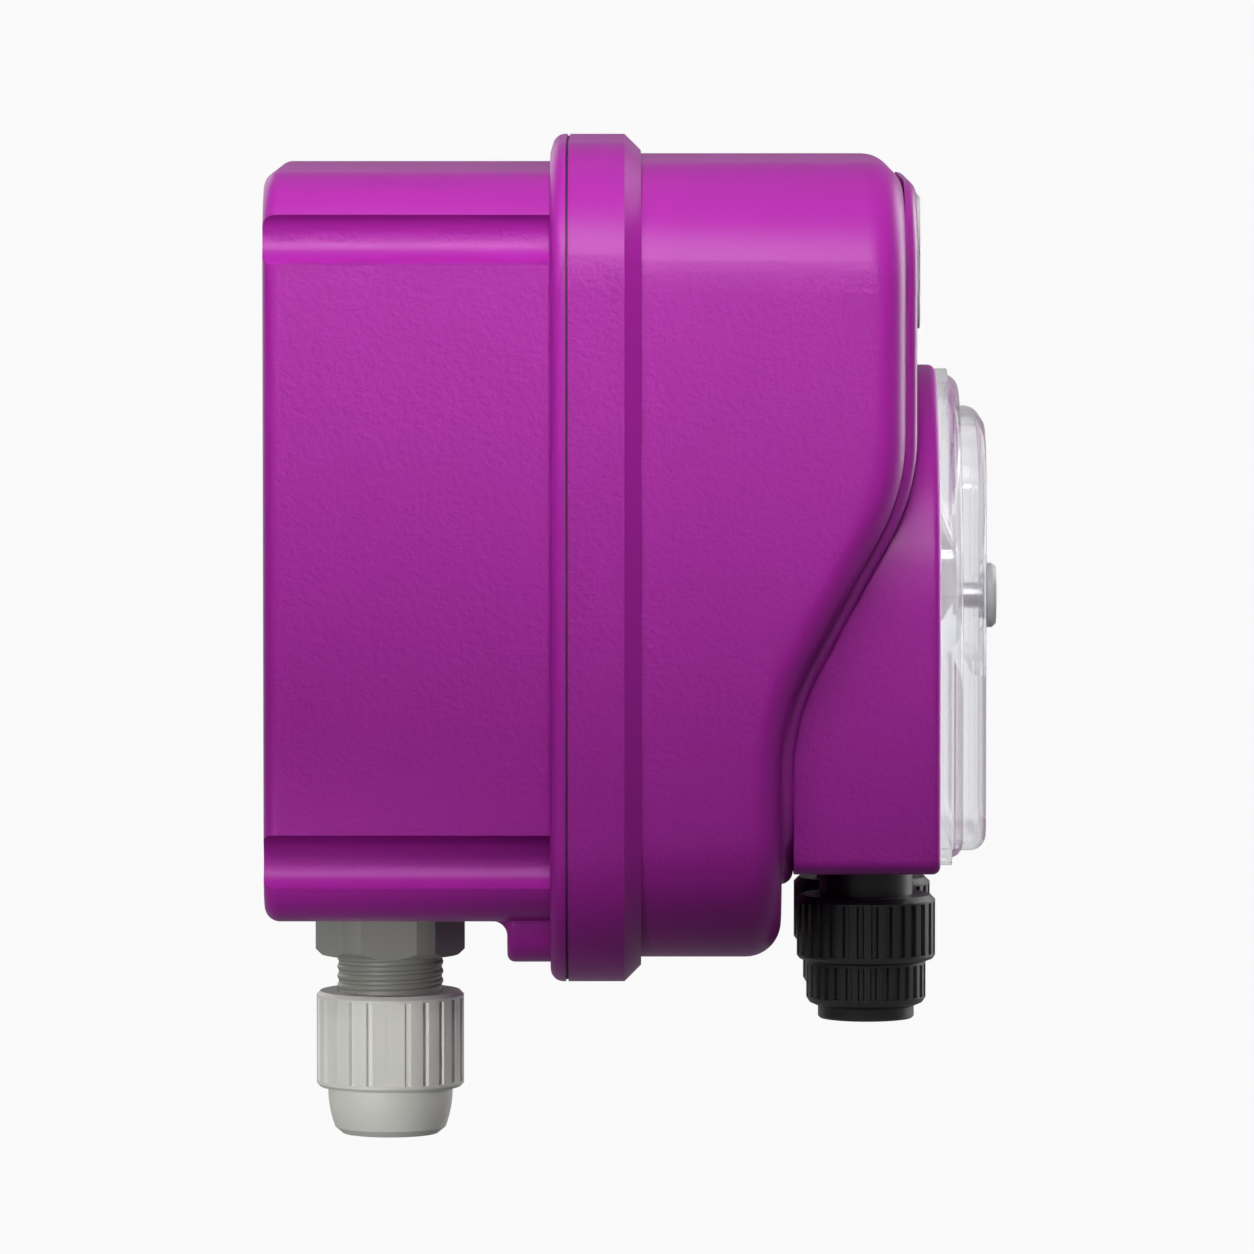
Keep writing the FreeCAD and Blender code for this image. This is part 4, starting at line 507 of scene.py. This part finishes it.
def add_groove_ends():
    """Plugs that close each side groove where it meets the flange."""
    reach = math.acos((GROOVE_ACROSS - PLUG_INNER_SIDE) / GROOVE_RADIUS)
    for level, height in (("upper", GROOVE_UPPER), ("lower", GROOVE_LOWER)):
        for hand, side in (("right", -1), ("left", 1)):
            outline = []
            for i in range(PLUG_STEPS + 1):
                turn = math.pi - reach + 2 * reach * i / PLUG_STEPS
                outline.append((side * (GROOVE_ACROSS + GROOVE_RADIUS * math.cos(turn)),
                                height + GROOVE_RADIUS * math.sin(turn)))
            name = f"groove_end_{level}_{hand}"
            mesh = slab_mesh(name, outline, PLUG_START, PLUG_START + PLUG_THICKNESS)
            new_piece(name, mesh, "casing", "housing", smooth=False)


def number_mesh(name, words, spot, face_x):
    """Raised figures that face along X, centred on a (y, z) spot."""
    curve = bpy.data.curves.new(name, "FONT")
    curve.body = words
    curve.size = NUMBER_SIZE
    curve.align_x = "CENTER"
    curve.align_y = "CENTER"
    curve.extrude = NUMBER_HALF_DEPTH
    source = add_object(name + "_text", curve)
    bpy.context.view_layer.update()
    drawn = source.evaluated_get(bpy.context.evaluated_depsgraph_get())
    mesh = bpy.data.meshes.new_from_object(drawn)
    bpy.data.objects.remove(source)
    mesh.transform(Matrix(((0, 0, 1, face_x),
                           (1, 0, 0, spot[0]),
                           (0, 1, 0, spot[1]),
                           (0, 0, 0, 1))))
    mesh.name = name
    return mesh


def add_dial_scale():
    """Tick marks from 0 to 10 round the dial, with plain numbers at every other one."""
    face_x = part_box("panel_label")[1][0]
    centre = Vector(node_middle("adjust_dial")[1:])
    for i in range(SCALE_STEPS + 1):
        angle = SCALE_START - SCALE_SWEEP * i / SCALE_STEPS
        along = Vector((math.cos(angle), math.sin(angle)))
        across = Vector((-along.y, along.x)) * TICK_HALF_WIDTH
        inner, outer = centre + along * TICK_INNER, centre + along * TICK_OUTER
        corners = [tuple(corner) for corner in (inner - across, outer - across,
                                                outer + across, inner + across)]
        tick = slab_mesh(f"dial_tick_{i}", corners,
                         face_x - PRINT_THICKNESS / 2, face_x + PRINT_THICKNESS)
        new_piece(f"dial_tick_{i}", tick, "print", "housing")
        if i % NUMBER_EVERY == 0:
            name = f"dial_number_{i}"
            number = number_mesh(name, str(i), centre + along * NUMBER_RADIUS, face_x)
            new_piece(name, number, "print", "housing")


def add_camera():
    data = bpy.data.cameras.new("camera")
    camera = add_object("camera", data)
    data.sensor_width = SENSOR_WIDTH
    data.lens = CAMERA_DISTANCE / PIXEL_AT_MIDPLANE / IMAGE_SIDE * SENSOR_WIDTH
    data.clip_end = CAMERA_REACH
    back = Vector((0, -math.cos(CAMERA_ELEVATION), math.sin(CAMERA_ELEVATION)))
    camera.location = VIEW_CENTRE + back * CAMERA_DISTANCE
    camera.rotation_euler = (math.radians(90) - CAMERA_ELEVATION, 0, 0)
    bpy.context.scene.camera = camera


def add_lamps():
    for name, spot, aim, size, power, spread in LAMPS:
        data = bpy.data.lights.new(name, "AREA")
        data.shape = "RECTANGLE"
        data.size, data.size_y = size
        data.energy = power
        data.spread = math.radians(spread)
        lamp = add_object(name, data)
        lamp.location = spot
        direction = Vector(aim) - Vector(spot)
        lamp.rotation_euler = direction.to_track_quat("-Z", "Y").to_euler()


def background_share(tree):
    """How much of the white surroundings a ray sees: all of it directly or through
    glass, a share in reflections, and none where it lights the pump."""
    path = tree.nodes.new("ShaderNodeLightPath").outputs
    direct = math_node(tree, "MAXIMUM", path["Is Camera Ray"], path["Is Transmission Ray"])
    gloss = math_node(tree, "MULTIPLY", path["Is Glossy Ray"], GLOSS_SHARE)
    return math_node(tree, "MAXIMUM", direct, gloss)


def add_world():
    """White to the camera, and a faint light that grows from below to above."""
    world = bpy.data.worlds.new("studio")
    world.use_nodes = True
    tree = world.node_tree
    tree.nodes.clear()
    output = tree.nodes.new("ShaderNodeOutputWorld")
    height = tree.nodes.new("ShaderNodeSeparateXYZ")
    tree.links.new(tree.nodes.new("ShaderNodeTexCoord").outputs["Generated"], height.inputs[0])
    rise = tree.nodes.new("ShaderNodeMapRange")
    rise.inputs["From Min"].default_value = -1.0
    rise.inputs["To Min"].default_value = WORLD_LIGHT_BELOW
    rise.inputs["To Max"].default_value = WORLD_LIGHT_ABOVE
    tree.links.new(height.outputs["Z"], rise.inputs["Value"])
    light = tree.nodes.new("ShaderNodeBackground")
    light.inputs["Color"].default_value = PLAIN_WHITE
    tree.links.new(rise.outputs["Result"], light.inputs["Strength"])
    seen = tree.nodes.new("ShaderNodeBackground")
    seen.inputs["Color"].default_value = PLAIN_WHITE
    seen.inputs["Strength"].default_value = 1.0
    mix_surfaces(tree, background_share(tree), light.outputs[0], seen.outputs[0],
                 output.inputs["Surface"])
    bpy.context.scene.world = world


def floor_material():
    """White to the camera, apart from a small share that shows the pump's shadow."""
    material = bpy.data.materials.new("floor_white")
    material.use_nodes = True
    tree = material.node_tree
    surface = tree.nodes["Principled BSDF"]
    surface.inputs["Base Color"].default_value = FLOOR_GREY
    surface.inputs["Roughness"].default_value = 0.8
    seen = tree.nodes.new("ShaderNodeEmission")
    seen.inputs["Color"].default_value = PLAIN_WHITE
    share = math_node(tree, "MULTIPLY", background_share(tree), FLOOR_WHITE_SHARE)
    mix_surfaces(tree, share, surface.outputs[0], seen.outputs[0],
                 tree.nodes["Material Output"].inputs["Surface"])
    return material


def add_floor():
    """Pale floor well below the pump, which hangs on a wall in use."""
    sheet = bmesh.new()
    spots = [(-FLOOR_HALF, -FLOOR_HALF), (FLOOR_HALF, -FLOOR_HALF),
             (FLOOR_HALF, FLOOR_HALF), (-FLOOR_HALF, FLOOR_HALF)]
    sheet.faces.new([sheet.verts.new((x, y, 0.0)) for x, y in spots])
    mesh = bpy.data.meshes.new("floor")
    sheet.to_mesh(mesh)
    sheet.free()
    floor = add_object("floor", mesh)
    floor.location.z = -FLOOR_BELOW
    mesh.materials.append(floor_material())


paint_cad_nodes()
add_gland_thread()
add_gasket_lip()
add_groove_ends()
add_dial_scale()
add_camera()
add_lamps()
add_world()
add_floor()

bpy.context.scene.view_settings.view_transform = "Standard"
